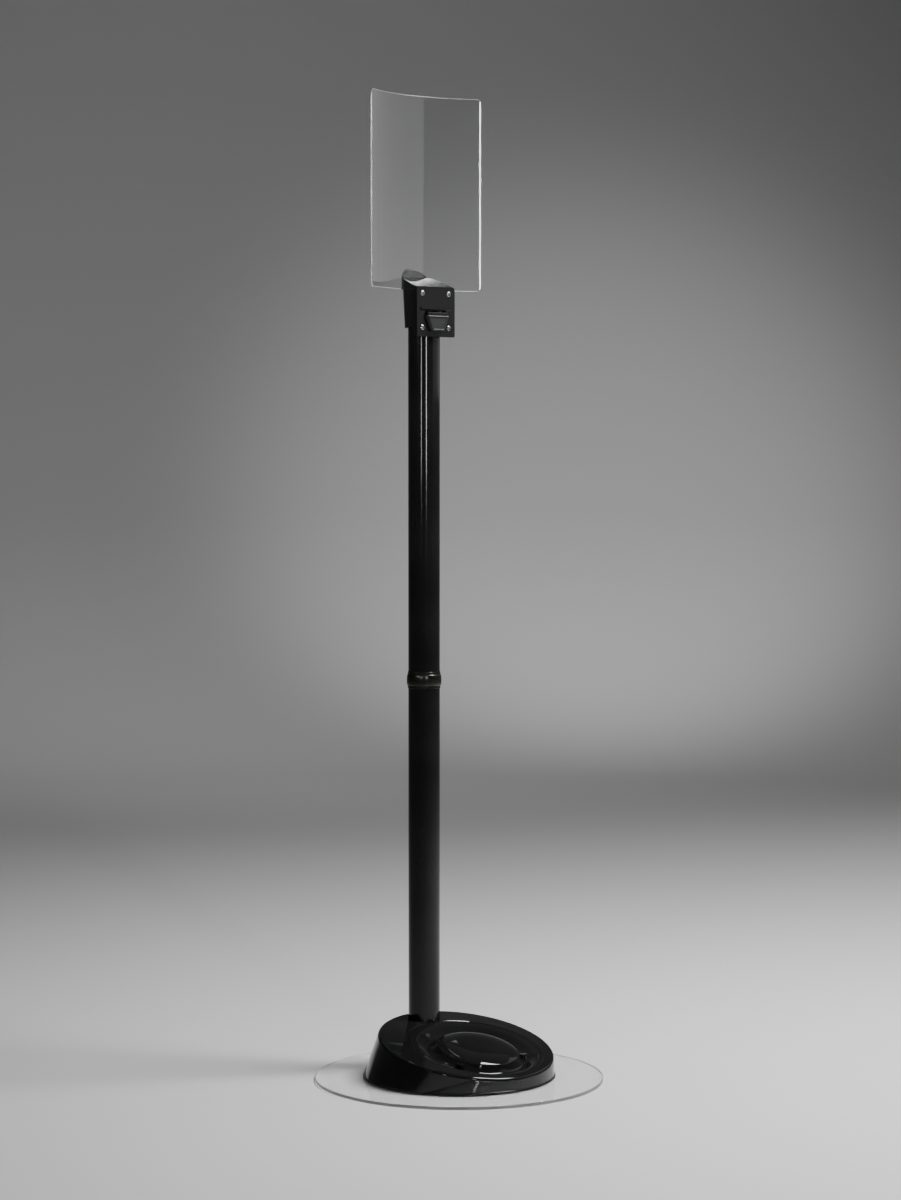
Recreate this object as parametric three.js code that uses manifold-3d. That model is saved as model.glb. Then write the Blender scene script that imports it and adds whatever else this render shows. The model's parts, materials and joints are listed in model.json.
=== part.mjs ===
// A free-standing sign stand: a clear floor disc, a weighted base under a glossy slanted cover,
// a two-part pole, a head with a retracting belt, and a curved clear sign panel held by a rear jaw.
// Millimetres, +Z up. The origin is the centre of the floor disc's underside; the front faces -Y.

import * as THREE from 'three';
import { mergeVertices } from 'three/addons/utils/BufferGeometryUtils.js';
import Module from 'manifold-3d';

const wasm = await Module();
wasm.setup();

// ---------------------------------------------------------------- driving dimensions

const GAP = 0.3;

const DISC_RADIUS = 225;
const DISC_THICKNESS = 5;
const DISC_EDGE = 0.6;

const FOOT_RADIUS = 151;
const SKIRT_RADIUS = 149.4;
const COVER_WALL = 3;
const RIM_RADIUS = 139;
const RIM_Y = -17.8;
const RIM_Z = 57.7;
const RIM_FILLET = 5;
const TOP_TILT = THREE.MathUtils.degToRad(12.4);
const TOP_CROWN = 5;
const DOME_RADIUS = 64;
const DOME_HEIGHT = 6;
const DOME_FLATNESS = 6;
const DOME_SHIFT = -29;
const GROOVE_OUTER = 108.5;
const GROOVE_SHIFT = -20;
const GROOVE_DEPTH = 10;
const GROOVE_LEDGE = 1;
const GROOVE_CREASE = 0.04;
const GROOVE_LOWEST = 0.72;

const WEIGHT_RADIUS = 134;
const WEIGHT_THICKNESS = 14;
const SOCKET_RADIUS = 34;
const SOCKET_TOP = 50;
const SOCKET_FLOOR = 20;
const BASE_SCREWS = [[-100, 15], [100, 15], [-62, -80], [62, -80]];
const BASE_SCREW_RADIUS = 3;
const BASE_SCREW_HEAD = 6;
const BOSS_RADIUS = 7;
const POLE_BOLT_RADIUS = 6;
const POLE_BOLT_HEAD = 9;
const POLE_BOLT_TOP = 55;
const WASHER_RADIUS = 12;
const WASHER_THICKNESS = 2;
const WASHER_SEAT_RADIUS = 13;
const BOLT_HOLE_RADIUS = 14;
const FOOT_PLUG_TOP = 62;

const POLE_Y = 88.5;
const POLE_RADIUS = 25;
const POLE_WALL = 2;
const POLE_TOP = 1178;
const JOINT_Z = 621;
const COLLAR_HEIGHT = 26;
const COLLAR_BARREL = 18;
const COLLAR_RADIUS = 27.5;
const COLLAR_LIP_RADIUS = 25.9;
const COLLAR_FLANGE = 3;
const SPIGOT_LENGTH = 130;
const SPIGOT_WALL = 3;
const HEAD_PLUG_LENGTH = 36;

const PLATE_WIDTH = 75;
const PLATE_BOTTOM = 1160;
const PLATE_TOP = 1237;
const PLATE_THICKNESS = 3;
const PLATE_CORNER = 2.5;
const HEAD_FRONT = 30.5;
const BLOCK_DEPTH = 14.5;
const SOCKET_LOW_RADIUS = 30;
const SOCKET_HIGH_RADIUS = 34.5;
const SOCKET_LOW_Z = 1174.5;
const SOCKET_HIGH_Z = 1258;
const TOP_SLOPE = 0.36;
const HEAD_WALL = 3;
const WEB_THICKNESS = 4;
const CAVITY_HALF_WIDTH = 22.5;
const CAVITY_BACK = 15.5;
const HEAD_BOLT_RADIUS = 4;
const HEAD_BOLT_HEAD = 6.5;
const HEAD_BOLT_HEAD_HEIGHT = 5;
const HEAD_BOLT_LENGTH = 35;

const PLATE_SCREW_X = 26;
const PLATE_SCREW_LOW_Z = 1174;
const PLATE_SCREW_HIGH_Z = 1227;
const PLATE_SCREW_RADIUS = 2;
const PLATE_SCREW_HEAD = 3.8;
const PLATE_SCREW_HIGH_TIP_Y = -13;

const SPOOL_Y = -4;
const SPOOL_Z = 1215;
const SPOOL_HALF_WIDTH = 21.5;
const SPOOL_FLANGE_RADIUS = 19;
const SPOOL_FLANGE = 1.2;
const SPOOL_CORE_RADIUS = 9;
const SPOOL_BORE_RADIUS = 6.6;
const ROLL_RADIUS = 16.5;
const AXLE_RADIUS = 2.5;
const BUSH_RADIUS = 5;
const BUSH_LENGTH = 5.5;
const SPRING_TURNS = 8;
const SPRING_RADIUS = 4.5;
const SPRING_WIRE = 0.6;
const SPRING_LENGTH = 34;
const BELT_WIDTH = 40;
const BELT_THICKNESS = 0.6;
const BELT_SLOT_WIDTH = 43;
const BELT_SLOT_HEIGHT = 5;
const BELT_LIP_WIDTH = 60;
const BELT_LIP_HEIGHT = 5.6;
const BELT_LIP_PROUD = 1.6;
const BELT_LIP_CHAMFER = 1.4;

const TONGUE_TOP_WIDTH = 44;
const TONGUE_BOTTOM_WIDTH = 25;
const TONGUE_TOP = 1193.6;
const TONGUE_HEIGHT = 25;
const TONGUE_DEPTH = 7.2;
const TONGUE_BEVEL = 3.4;
const NECK_Y = -33.4;
const NECK_RADIUS = 2;

const PANEL_RADIUS = 212;
const PANEL_THICKNESS = 3;
const PANEL_WIDTH = 220;
const PANEL_BOTTOM = 1236;
const PANEL_TOP = 1540;
const PANEL_CORNER = 8;
const PANEL_MIDDLE_Y = 22.3;

const JAW_WIDTH = 47;
const JAW_RADIUS = 37;
const JAW_ARCH = 9;
const PAD_THICKNESS = 1;
const JAW_SCREW_X = 13;
const JAW_SCREW_Z = 1246;
const JAW_SCREW_RADIUS = 2;
const JAW_SCREW_HEAD = 3.8;
const JAW_SCREW_HEAD_HEIGHT = 3;

// ---------------------------------------------------------------- derived places

const COVER_BOTTOM = DISC_THICKNESS + GAP;
const WEIGHT_TOP = COVER_BOTTOM + WEIGHT_THICKNESS;
const BASE_SCREW_TOP = WEIGHT_TOP + 7;
const BOLT_SEAT = COVER_BOTTOM + 5;
const WEB_Z = POLE_TOP + HEAD_WALL + 2 * GAP;
const PLATE_BACK_Y = PLATE_THICKNESS - HEAD_FRONT;
const BODY_FRONT_Y = PLATE_BACK_Y + GAP;
const BLOCK_BACK_Y = BLOCK_DEPTH - HEAD_FRONT;
const PLATE_SCREW_LOW_TIP_Y = BLOCK_BACK_Y - 2;
const PANEL_CENTRE_Y = PANEL_MIDDLE_Y - PANEL_RADIUS;
const PANEL_FRONT_RADIUS = PANEL_RADIUS - PANEL_THICKNESS / 2;
const PANEL_REAR_RADIUS = PANEL_RADIUS + PANEL_THICKNESS / 2;
const LEDGE_Z = PANEL_BOTTOM - GAP;
const BELT_Z = SPOOL_Z - ROLL_RADIUS - GAP - BELT_THICKNESS / 2;
const BEYOND_HEAD = 60;
const ABOVE_HEAD = SOCKET_HIGH_Z + 40;

// ---------------------------------------------------------------- materials

function finish(color, roughness, metalness) {
  return new THREE.MeshStandardMaterial({ color, roughness, metalness });
}

const glossBlack = finish(0x0b0b0c, 0.12, 0);
const blackPaint = finish(0x0a0a0b, 0.15, 0.1);
const satinOlive = finish(0x23211b, 0.42, 0.1);
const satinGrey = finish(0x37383a, 0.5, 0);
const zinc = finish(0xb9bcc0, 0.28, 1);
const aluminium = finish(0xb4b6b8, 0.4, 1);
const castIron = finish(0x3c3d3e, 0.7, 0.6);
const rubber = finish(0x151515, 0.85, 0);
const nylon = finish(0xd8d6cd, 0.5, 0);
const webbing = finish(0x16171a, 0.9, 0);
const springSteel = finish(0x54585e, 0.35, 1);
const acrylic = finish(0xe9efee, 0.04, 0);
acrylic.transparent = true;
acrylic.opacity = 0.3;

// ---------------------------------------------------------------- solids

function solidFrom(geometry) {
  const bare = geometry.clone();
  bare.deleteAttribute('normal');
  bare.deleteAttribute('uv');
  const merged = mergeVertices(bare, 1e-4);
  const corners = [];
  for (let i = 0; i < merged.index.count; i += 3) {
    const [a, b, c] = [0, 1, 2].map((k) => merged.index.getX(i + k));
    if (a !== b && b !== c && c !== a) corners.push(a, b, c);
  }
  return new wasm.Manifold(new wasm.Mesh({
    numProp: 3,
    vertProperties: new Float32Array(merged.attributes.position.array),
    triVerts: new Uint32Array(corners),
  }));
}

function geometryFrom(solid) {
  const mesh = solid.getMesh();
  const geometry = new THREE.BufferGeometry();
  geometry.setAttribute('position', new THREE.BufferAttribute(mesh.vertProperties, 3));
  geometry.setIndex(new THREE.BufferAttribute(mesh.triVerts, 1));
  geometry.computeVertexNormals();
  return geometry;
}

function addPart(parent, name, solid, material) {
  const mesh = new THREE.Mesh(geometryFrom(solid), material);
  mesh.name = name;
  parent.add(mesh);
}

// A solid of revolution about Z. The profile's [radius, height] pairs run up its outside.
function turned(profile, segments = 32) {
  const points = profile.map(([radius, height]) => new THREE.Vector2(radius, height));
  return solidFrom(new THREE.LatheGeometry(points, segments).rotateX(Math.PI / 2));
}

function rod(radius, low, high, x = 0, y = 0, segments = 32) {
  const geometry = new THREE.CylinderGeometry(radius, radius, high - low, segments);
  geometry.rotateX(Math.PI / 2);
  geometry.translate(x, y, (low + high) / 2);
  return solidFrom(geometry);
}

function rodAlongX(radius, left, right, y, z, segments = 24) {
  const geometry = new THREE.CylinderGeometry(radius, radius, right - left, segments);
  geometry.rotateZ(Math.PI / 2);
  geometry.translate((left + right) / 2, y, z);
  return solidFrom(geometry);
}

function rodAlongY(radius, front, back, x, z, segments = 16) {
  const geometry = new THREE.CylinderGeometry(radius, radius, back - front, segments);
  geometry.translate(x, (front + back) / 2, z);
  return solidFrom(geometry);
}

function tube(outer, inner, low, high, segments = 40) {
  return turned([[inner, low], [outer, low], [outer, high], [inner, high], [inner, low]], segments);
}

function block(lowX, highX, lowY, highY, lowZ, highZ) {
  const geometry = new THREE.BoxGeometry(highX - lowX, highY - lowY, highZ - lowZ);
  geometry.translate((lowX + highX) / 2, (lowY + highY) / 2, (lowZ + highZ) / 2);
  return solidFrom(geometry);
}

// A prism whose outline lies in X and Z and which runs along Y, rising by slope as it goes back.
function prismAlongY(shape, front, back, slope = 0) {
  const geometry = new THREE.ExtrudeGeometry(shape, {
    depth: back - front, bevelEnabled: false, curveSegments: 8,
  });
  geometry.rotateX(Math.PI / 2);
  geometry.translate(0, back, 0);
  geometry.applyMatrix4(new THREE.Matrix4().makeShear(0, 0, 0, slope, 0, 0));
  return solidFrom(geometry);
}

// A closed skin over a stack of rings with equal counts of points, with both ends capped.
function loft(rings) {
  const count = rings[0].length;
  const lastRow = (rings.length - 1) * count;
  const positions = [];
  const faces = [];
  for (const ring of rings) for (const point of ring) positions.push(...point.toArray());
  for (const ring of [rings[0], rings.at(-1)]) {
    const centre = ring.reduce((sum, point) => sum.add(point), new THREE.Vector3());
    positions.push(...centre.divideScalar(count).toArray());
  }
  const lowCentre = rings.length * count;
  for (let k = 0; k < count; k += 1) {
    const next = (k + 1) % count;
    faces.push(lowCentre, next, k);
    faces.push(lowCentre + 1, lastRow + k, lastRow + next);
    for (let row = 0; row < lastRow; row += count) {
      faces.push(row + k, row + next, row + count + k);
      faces.push(row + next, row + count + next, row + count + k);
    }
  }
  const geometry = new THREE.BufferGeometry();
  geometry.setAttribute('position', new THREE.Float32BufferAttribute(positions, 3));
  geometry.setIndex(faces);
  return solidFrom(geometry);
}

// ---------------------------------------------------------------- fasteners

const SCREW_RIM = 0.4;

// A countersunk screw along +Z: its flat head is at the bottom, with a cross recess.
function countersunkScrew(low, top, radius, headRadius) {
  const rim = low + SCREW_RIM;
  const shoulder = rim + headRadius - radius;
  const body = turned([
    [0, low], [headRadius, low], [headRadius, rim], [radius, shoulder], [radius, top], [0, top],
  ], 16);
  const arm = headRadius * 0.62;
  const recess = low + headRadius * 0.35;
  const half = 0.5;
  const across = block(-arm, arm, -half, half, low - 1, recess);
  const along = block(-half, half, -arm, arm, low - 1, recess);
  return body.subtract(across).subtract(along);
}

function countersunkHole(low, top, radius, headRadius) {
  const shoulder = low + SCREW_RIM + headRadius - radius;
  const hole = radius + GAP;
  const sink = headRadius + GAP;
  const rim = low + SCREW_RIM;
  return turned([
    [0, low - 2], [sink, low - 2], [sink, rim], [hole, shoulder], [hole, top], [0, top],
  ], 16);
}

// A bolt along +Z with a round socket head at the bottom.
function socketBolt(low, headHeight, top, radius, headRadius) {
  const seat = low + headHeight;
  const body = turned([
    [0, low], [headRadius, low], [headRadius, seat], [radius, seat], [radius, top], [0, top],
  ], 24);
  return body.subtract(rod(headRadius * 0.5, low - 1, low + headHeight * 0.6, 0, 0, 6));
}

const pointingBack = (solid) => solid.rotate([-90, 0, 0]);
const pointingForward = (solid) => solid.rotate([90, 0, 0]);
const pointingDown = (solid) => solid.rotate([180, 0, 0]);

// ---------------------------------------------------------------- the cover's slanted top

const AROUND = 48;
const rimCentre = new THREE.Vector3(0, RIM_Y, RIM_Z);
const upSlope = new THREE.Vector3(0, Math.cos(TOP_TILT), Math.sin(TOP_TILT));
const topNormal = new THREE.Vector3(0, -Math.sin(TOP_TILT), Math.cos(TOP_TILT));

function ringAngles() {
  return Array.from({ length: AROUND }, (_, k) => (2 * Math.PI * k) / AROUND);
}

function domeHeight(radius) {
  return DOME_HEIGHT * Math.max(0, 1 - (radius / DOME_RADIUS) ** DOME_FLATNESS);
}

// The groove's depth at a share of the way from its outer circle to its inner one: a small crease
// at the outer edge, a wall that steepens downwards, and a steep rise to the dome's edge.
function grooveDepth(share) {
  if (share > GROOVE_LOWEST) {
    const rise = (share - GROOVE_LOWEST) / (1 - GROOVE_LOWEST);
    return (GROOVE_DEPTH + GROOVE_LEDGE) * Math.cos((Math.PI / 2) * rise);
  }
  const fall = (share / GROOVE_LOWEST) ** 1.5;
  const ledge = GROOVE_LEDGE * THREE.MathUtils.smoothstep(share, 0, GROOVE_CREASE);
  return ledge + GROOVE_DEPTH * Math.sin((Math.PI / 2) * fall) ** 2;
}

function crownHeight(across, along) {
  return TOP_CROWN * (1 - (across ** 2 + along ** 2) / RIM_RADIUS ** 2);
}

function topHeight(across, along) {
  return crownHeight(across, along) + domeHeight(Math.hypot(across, along - DOME_SHIFT));
}

function slantedRing(radius, shift, liftAt) {
  return ringAngles().map((angle) => {
    const across = radius * Math.cos(angle);
    const along = shift + radius * Math.sin(angle);
    return rimCentre.clone()
      .add(new THREE.Vector3(across, 0, 0))
      .addScaledVector(upSlope, along)
      .addScaledVector(topNormal, liftAt(across, along));
  });
}

function levelRing(radius, z) {
  return ringAngles().map((angle) => (
    new THREE.Vector3(radius * Math.cos(angle), radius * Math.sin(angle), z)
  ));
}

// The cover's surface, moved inward by inset: foot, skirt, rounded rim, crowned top, groove and dome.
function coverSkin(footRings, inset, rimDegrees, grooveShares) {
  const rings = footRings.map(([radius, z]) => levelRing(radius, z));
  const fillet = RIM_FILLET - inset;
  for (const degrees of rimDegrees) {
    const turn = THREE.MathUtils.degToRad(degrees);
    const radius = RIM_RADIUS - RIM_FILLET + fillet * Math.sin(turn);
    const drop = RIM_FILLET - fillet * Math.cos(turn);
    rings.push(slantedRing(radius, 0, (across, along) => crownHeight(across, along) - drop));
  }
  for (const share of grooveShares) {
    const radius = THREE.MathUtils.lerp(GROOVE_OUTER, DOME_RADIUS, share);
    const shift = THREE.MathUtils.lerp(GROOVE_SHIFT, DOME_SHIFT, share);
    const lower = grooveDepth(share) + inset;
    rings.push(slantedRing(radius, shift, (across, along) => topHeight(across, along) - lower));
  }
  for (const share of [0.93, 0.86, 0.75, 0.5, 0.1]) {
    const dome = (across, along) => topHeight(across, along) - inset;
    rings.push(slantedRing(DOME_RADIUS * share, DOME_SHIFT, dome));
  }
  return loft(rings);
}

// ---------------------------------------------------------------- base

function floorDisc() {
  const edge = DISC_RADIUS - DISC_EDGE;
  let disc = turned([
    [0, 0], [edge, 0], [DISC_RADIUS, DISC_EDGE], [DISC_RADIUS, DISC_THICKNESS - DISC_EDGE],
    [edge, DISC_THICKNESS], [0, DISC_THICKNESS],
  ], 96);
  disc = disc.subtract(rod(BOLT_HOLE_RADIUS, -1, DISC_THICKNESS + 1, 0, POLE_Y, 24));
  for (const [x, y] of BASE_SCREWS) {
    const hole = countersunkHole(GAP, DISC_THICKNESS + 1, BASE_SCREW_RADIUS, BASE_SCREW_HEAD);
    disc = disc.subtract(hole.translate([x, y, 0]));
  }
  return disc;
}

function baseWeight() {
  const chamfer = 2;
  const clearance = BASE_SCREW_RADIUS + GAP;
  let weight = turned([
    [0, COVER_BOTTOM], [WEIGHT_RADIUS, COVER_BOTTOM], [WEIGHT_RADIUS, WEIGHT_TOP - chamfer],
    [WEIGHT_RADIUS - chamfer, WEIGHT_TOP], [0, WEIGHT_TOP],
  ], 48);
  weight = weight.add(rod(SOCKET_RADIUS, WEIGHT_TOP - 1, SOCKET_TOP, 0, POLE_Y, 40));
  weight = weight.subtract(rod(POLE_RADIUS + GAP, SOCKET_FLOOR, SOCKET_TOP + 1, 0, POLE_Y, 40));
  weight = weight.subtract(rod(POLE_BOLT_RADIUS + GAP, 0, SOCKET_FLOOR + 1, 0, POLE_Y, 24));
  weight = weight.subtract(rod(WASHER_SEAT_RADIUS, 0, BOLT_SEAT, 0, POLE_Y, 24));
  for (const [x, y] of BASE_SCREWS) {
    weight = weight.subtract(rod(clearance, 0, WEIGHT_TOP + 1, x, y, 16));
  }
  return weight;
}

function baseCover() {
  const outerFoot = [
    [FOOT_RADIUS, COVER_BOTTOM], [FOOT_RADIUS, COVER_BOTTOM + 2.4], [SKIRT_RADIUS, COVER_BOTTOM + 4.2],
  ];
  const innerFoot = [[SKIRT_RADIUS - COVER_WALL, COVER_BOTTOM - 1]];
  const fine = [0, GROOVE_CREASE, 0.18, 0.3, 0.4, 0.5, 0.6, 0.66, GROOVE_LOWEST, 0.8, 0.87, 0.94, 1];
  const outside = coverSkin(outerFoot, 0, [80, 55, 28, 0], fine);
  const inside = coverSkin(innerFoot, COVER_WALL, [80, 0], [0, 0.25, 0.45, 0.6, GROOVE_LOWEST, 0.85, 1]);
  let cover = outside.subtract(inside);
  for (const [x, y] of BASE_SCREWS) {
    const boss = rod(BOSS_RADIUS, WEIGHT_TOP + GAP, SOCKET_TOP * 2, x, y, 16).intersect(outside);
    cover = cover.add(boss).subtract(rod(BASE_SCREW_RADIUS + GAP, 0, BASE_SCREW_TOP + GAP, x, y, 16));
  }
  return cover.subtract(rod(POLE_RADIUS + GAP, 0, SOCKET_TOP * 3, 0, POLE_Y, 40));
}

function addBase(stand) {
  addPart(stand, 'floor_disc', floorDisc(), acrylic);
  addPart(stand, 'base_weight', baseWeight(), castIron);
  addPart(stand, 'base_cover', baseCover(), glossBlack);
  BASE_SCREWS.forEach(([x, y], index) => {
    const screw = countersunkScrew(GAP, BASE_SCREW_TOP, BASE_SCREW_RADIUS, BASE_SCREW_HEAD);
    addPart(stand, `base_screw_${index + 1}`, screw.translate([x, y, 0]), zinc);
  });
  const washerTop = BOLT_SEAT - GAP;
  const washerBottom = washerTop - WASHER_THICKNESS;
  const washer = tube(WASHER_RADIUS, POLE_BOLT_RADIUS + GAP, washerBottom, washerTop, 24);
  const boltBottom = 1.2;
  const headHeight = washerBottom - GAP - boltBottom;
  const bolt = socketBolt(boltBottom, headHeight, POLE_BOLT_TOP, POLE_BOLT_RADIUS, POLE_BOLT_HEAD);
  const plugRadius = POLE_RADIUS - POLE_WALL - GAP;
  const footPlug = tube(plugRadius, POLE_BOLT_RADIUS + GAP, SOCKET_FLOOR + GAP, FOOT_PLUG_TOP);
  addPart(stand, 'pole_bolt_washer', washer.translate([0, POLE_Y, 0]), zinc);
  addPart(stand, 'pole_bolt', bolt.translate([0, POLE_Y, 0]), zinc);
  addPart(stand, 'pole_foot_plug', footPlug.translate([0, POLE_Y, 0]), aluminium);
}

// ---------------------------------------------------------------- pole, about its own axis

// A barrel-shaped ring over the tubes' ends, with a flange inside that keeps them apart.
function jointCollar() {
  const half = COLLAR_HEIGHT / 2;
  const barrel = COLLAR_BARREL / 2;
  const bulge = COLLAR_RADIUS - COLLAR_LIP_RADIUS;
  const bore = POLE_RADIUS + GAP;
  const flangeBore = POLE_RADIUS - POLE_WALL;
  const flange = COLLAR_FLANGE / 2;
  const profile = [[bore, -half], [COLLAR_LIP_RADIUS, -half]];
  for (let step = 0; step <= 6; step += 1) {
    const share = step / 3 - 1;
    profile.push([COLLAR_LIP_RADIUS + bulge * Math.sqrt(1 - share ** 2), barrel * share]);
  }
  profile.push(
    [COLLAR_LIP_RADIUS, half], [bore, half], [bore, flange], [flangeBore, flange],
    [flangeBore, -flange], [bore, -flange], [bore, -half],
  );
  return turned(profile, 40).translate([0, 0, JOINT_Z]);
}

function addPole(pole) {
  const tubeInside = POLE_RADIUS - POLE_WALL;
  const spigotRadius = tubeInside - GAP;
  const tubeEnd = COLLAR_FLANGE / 2 + GAP;
  const lower = tube(POLE_RADIUS, tubeInside, SOCKET_FLOOR + GAP, JOINT_Z - tubeEnd);
  const upper = tube(POLE_RADIUS, tubeInside, JOINT_Z + tubeEnd, POLE_TOP);
  const spigot = tube(
    spigotRadius, spigotRadius - SPIGOT_WALL, JOINT_Z - SPIGOT_LENGTH / 2, JOINT_Z + SPIGOT_LENGTH / 2,
  );
  const flangeTop = POLE_TOP + HEAD_WALL + GAP;
  const plugBore = HEAD_BOLT_RADIUS + GAP;
  const plugBottom = POLE_TOP - HEAD_PLUG_LENGTH;
  const headPlug = turned([
    [plugBore, plugBottom], [spigotRadius, plugBottom], [spigotRadius, POLE_TOP + GAP],
    [POLE_RADIUS, POLE_TOP + GAP], [POLE_RADIUS, flangeTop], [plugBore, flangeTop], [plugBore, plugBottom],
  ], 40);
  addPart(pole, 'lower_pole', lower, blackPaint);
  addPart(pole, 'joint_spigot', spigot, aluminium);
  addPart(pole, 'joint_collar', jointCollar(), satinOlive);
  addPart(pole, 'upper_pole', upper, blackPaint);
  addPart(pole, 'head_plug', headPlug, aluminium);
}

// ---------------------------------------------------------------- head, about the pole's axis

const topAt = (y) => PLATE_TOP + TOP_SLOPE * (HEAD_FRONT + y);

// Everything below the head's slanted top, lowered by depth.
function underTop(depth) {
  const shape = new THREE.Shape();
  shape.moveTo(-BEYOND_HEAD, PLATE_BOTTOM - BEYOND_HEAD);
  shape.lineTo(BEYOND_HEAD, PLATE_BOTTOM - BEYOND_HEAD);
  shape.lineTo(BEYOND_HEAD, topAt(0) - depth);
  shape.lineTo(-BEYOND_HEAD, topAt(0) - depth);
  shape.closePath();
  return prismAlongY(shape, -BEYOND_HEAD, BEYOND_HEAD, TOP_SLOPE);
}

// The head's outline at a height: a square front block that narrows to a round socket behind.
function headOutline(z) {
  const share = (z - SOCKET_LOW_Z) / (SOCKET_HIGH_Z - SOCKET_LOW_Z);
  const radius = THREE.MathUtils.lerp(SOCKET_LOW_RADIUS, SOCKET_HIGH_RADIUS, share);
  const corner = new THREE.Vector2(PLATE_WIDTH / 2, -BLOCK_BACK_Y);
  const start = Math.atan2(corner.x, corner.y) + Math.acos(radius / corner.length());
  const steps = 20;
  const points = [[-corner.x, BODY_FRONT_Y], [corner.x, BODY_FRONT_Y], [corner.x, BLOCK_BACK_Y]];
  for (let step = 0; step <= steps; step += 1) {
    const angle = start + (2 * (Math.PI - start) * step) / steps;
    points.push([radius * Math.sin(angle), -radius * Math.cos(angle)]);
  }
  points.push([-corner.x, BLOCK_BACK_Y]);
  return points.map(([x, y]) => new THREE.Vector3(x, y, z));
}

// An upright arc of sheet between two radii about the panel's centre of curvature.
function curvedSheet(inner, outer, low, high) {
  const reach = 0.62;
  const shape = new THREE.Shape();
  shape.absarc(0, 0, outer, Math.PI / 2 - reach, Math.PI / 2 + reach, false);
  shape.absarc(0, 0, inner, Math.PI / 2 + reach, Math.PI / 2 - reach, true);
  shape.closePath();
  const geometry = new THREE.ExtrudeGeometry(shape, {
    depth: high - low, bevelEnabled: false, curveSegments: 40,
  });
  geometry.translate(0, PANEL_CENTRE_Y, low);
  return solidFrom(geometry);
}

function headBody() {
  const half = PLATE_WIDTH / 2;
  let body = loft([headOutline(SOCKET_LOW_Z), headOutline(SOCKET_HIGH_Z)]);
  body = body.add(block(-half, half, BODY_FRONT_Y, BLOCK_BACK_Y, PLATE_BOTTOM, SOCKET_HIGH_Z));
  body = body.intersect(underTop(0));
  const panelSpace = curvedSheet(PANEL_FRONT_RADIUS - GAP, PANEL_RADIUS + JAW_RADIUS, LEDGE_Z, ABOVE_HEAD);
  body = body.subtract(panelSpace);
  body = body.subtract(rod(POLE_RADIUS + GAP, PLATE_BOTTOM - 1, WEB_Z, 0, 0, 40));
  body = body.subtract(rod(HEAD_BOLT_RADIUS + GAP, WEB_Z - 1, WEB_Z + WEB_THICKNESS + 1, 0, 0, 16));
  const wide = CAVITY_HALF_WIDTH;
  const floor = WEB_Z + WEB_THICKNESS;
  const cavity = block(-wide, wide, BODY_FRONT_Y - 1, CAVITY_BACK, floor, SOCKET_HIGH_Z);
  body = body.subtract(cavity.intersect(underTop(HEAD_WALL)));
  return body.subtract(bushSeats()).subtract(bodyScrewHoles());
}

// Slots in the cavity's side walls, open at the front, that take the axle's bushes.
function bushSeats() {
  const reach = CAVITY_HALF_WIDTH + BUSH_LENGTH + GAP;
  const radius = BUSH_RADIUS + GAP;
  const ends = rodAlongX(radius, -reach, reach, SPOOL_Y, SPOOL_Z);
  return ends.add(block(-reach, reach, BODY_FRONT_Y - 1, SPOOL_Y, SPOOL_Z - radius, SPOOL_Z + radius));
}

function bodyScrewHoles() {
  const holes = [];
  const plateHole = PLATE_SCREW_RADIUS + GAP;
  const jawHole = JAW_SCREW_RADIUS + GAP;
  const front = BODY_FRONT_Y - 1;
  for (const side of [-1, 1]) {
    const x = side * PLATE_SCREW_X;
    holes.push(rodAlongY(plateHole, front, PLATE_SCREW_HIGH_TIP_Y + 1, x, PLATE_SCREW_HIGH_Z));
    holes.push(rodAlongY(plateHole, front, PLATE_SCREW_LOW_TIP_Y + 0.5, x, PLATE_SCREW_LOW_Z));
    holes.push(rodAlongY(jawHole, CAVITY_BACK - 1, JAW_RADIUS, side * JAW_SCREW_X, JAW_SCREW_Z));
  }
  return holes.reduce((all, hole) => all.add(hole));
}

function roundedRectangle(width, low, high, radius) {
  const half = width / 2 - radius;
  const shape = new THREE.Shape();
  shape.absarc(half, low + radius, radius, -Math.PI / 2, 0, false);
  shape.absarc(half, high - radius, radius, 0, Math.PI / 2, false);
  shape.absarc(-half, high - radius, radius, Math.PI / 2, Math.PI, false);
  shape.absarc(-half, low + radius, radius, Math.PI, 1.5 * Math.PI, false);
  shape.closePath();
  return shape;
}

// A flat-topped ridge with chamfered edges over the belt slot.
function beltLip() {
  const base = BELT_LIP_HEIGHT / 2;
  const face = base - BELT_LIP_CHAMFER;
  const middle = BELT_Z + BELT_SLOT_HEIGHT / 2 + base + 0.7;
  const front = -HEAD_FRONT - BELT_LIP_PROUD;
  const section = [[1 - HEAD_FRONT, -base], [-HEAD_FRONT, -base], [front, -face]];
  section.push([front, face], [-HEAD_FRONT, base], [1 - HEAD_FRONT, base]);
  return loft([BELT_LIP_WIDTH / 2, -BELT_LIP_WIDTH / 2].map((x) => (
    section.map(([y, z]) => new THREE.Vector3(x, y, middle + z))
  )));
}

// The plate that closes the cassette: a belt slot, a lip above it and four countersinks.
function frontPlate() {
  const outline = roundedRectangle(PLATE_WIDTH, PLATE_BOTTOM, PLATE_TOP, PLATE_CORNER);
  const slotHalf = BELT_SLOT_WIDTH / 2;
  const halfHeight = BELT_SLOT_HEIGHT / 2;
  const slot = block(-slotHalf, slotHalf, -BEYOND_HEAD, 0, BELT_Z - halfHeight, BELT_Z + halfHeight);
  let plate = prismAlongY(outline, -HEAD_FRONT, PLATE_BACK_Y).add(beltLip()).subtract(slot);
  for (const x of [-PLATE_SCREW_X, PLATE_SCREW_X]) {
    for (const z of [PLATE_SCREW_LOW_Z, PLATE_SCREW_HIGH_Z]) {
      const hole = countersunkHole(GAP - HEAD_FRONT, 0, PLATE_SCREW_RADIUS, PLATE_SCREW_HEAD);
      plate = plate.subtract(pointingBack(hole).translate([x, 0, z]));
    }
  }
  return plate;
}

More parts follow.
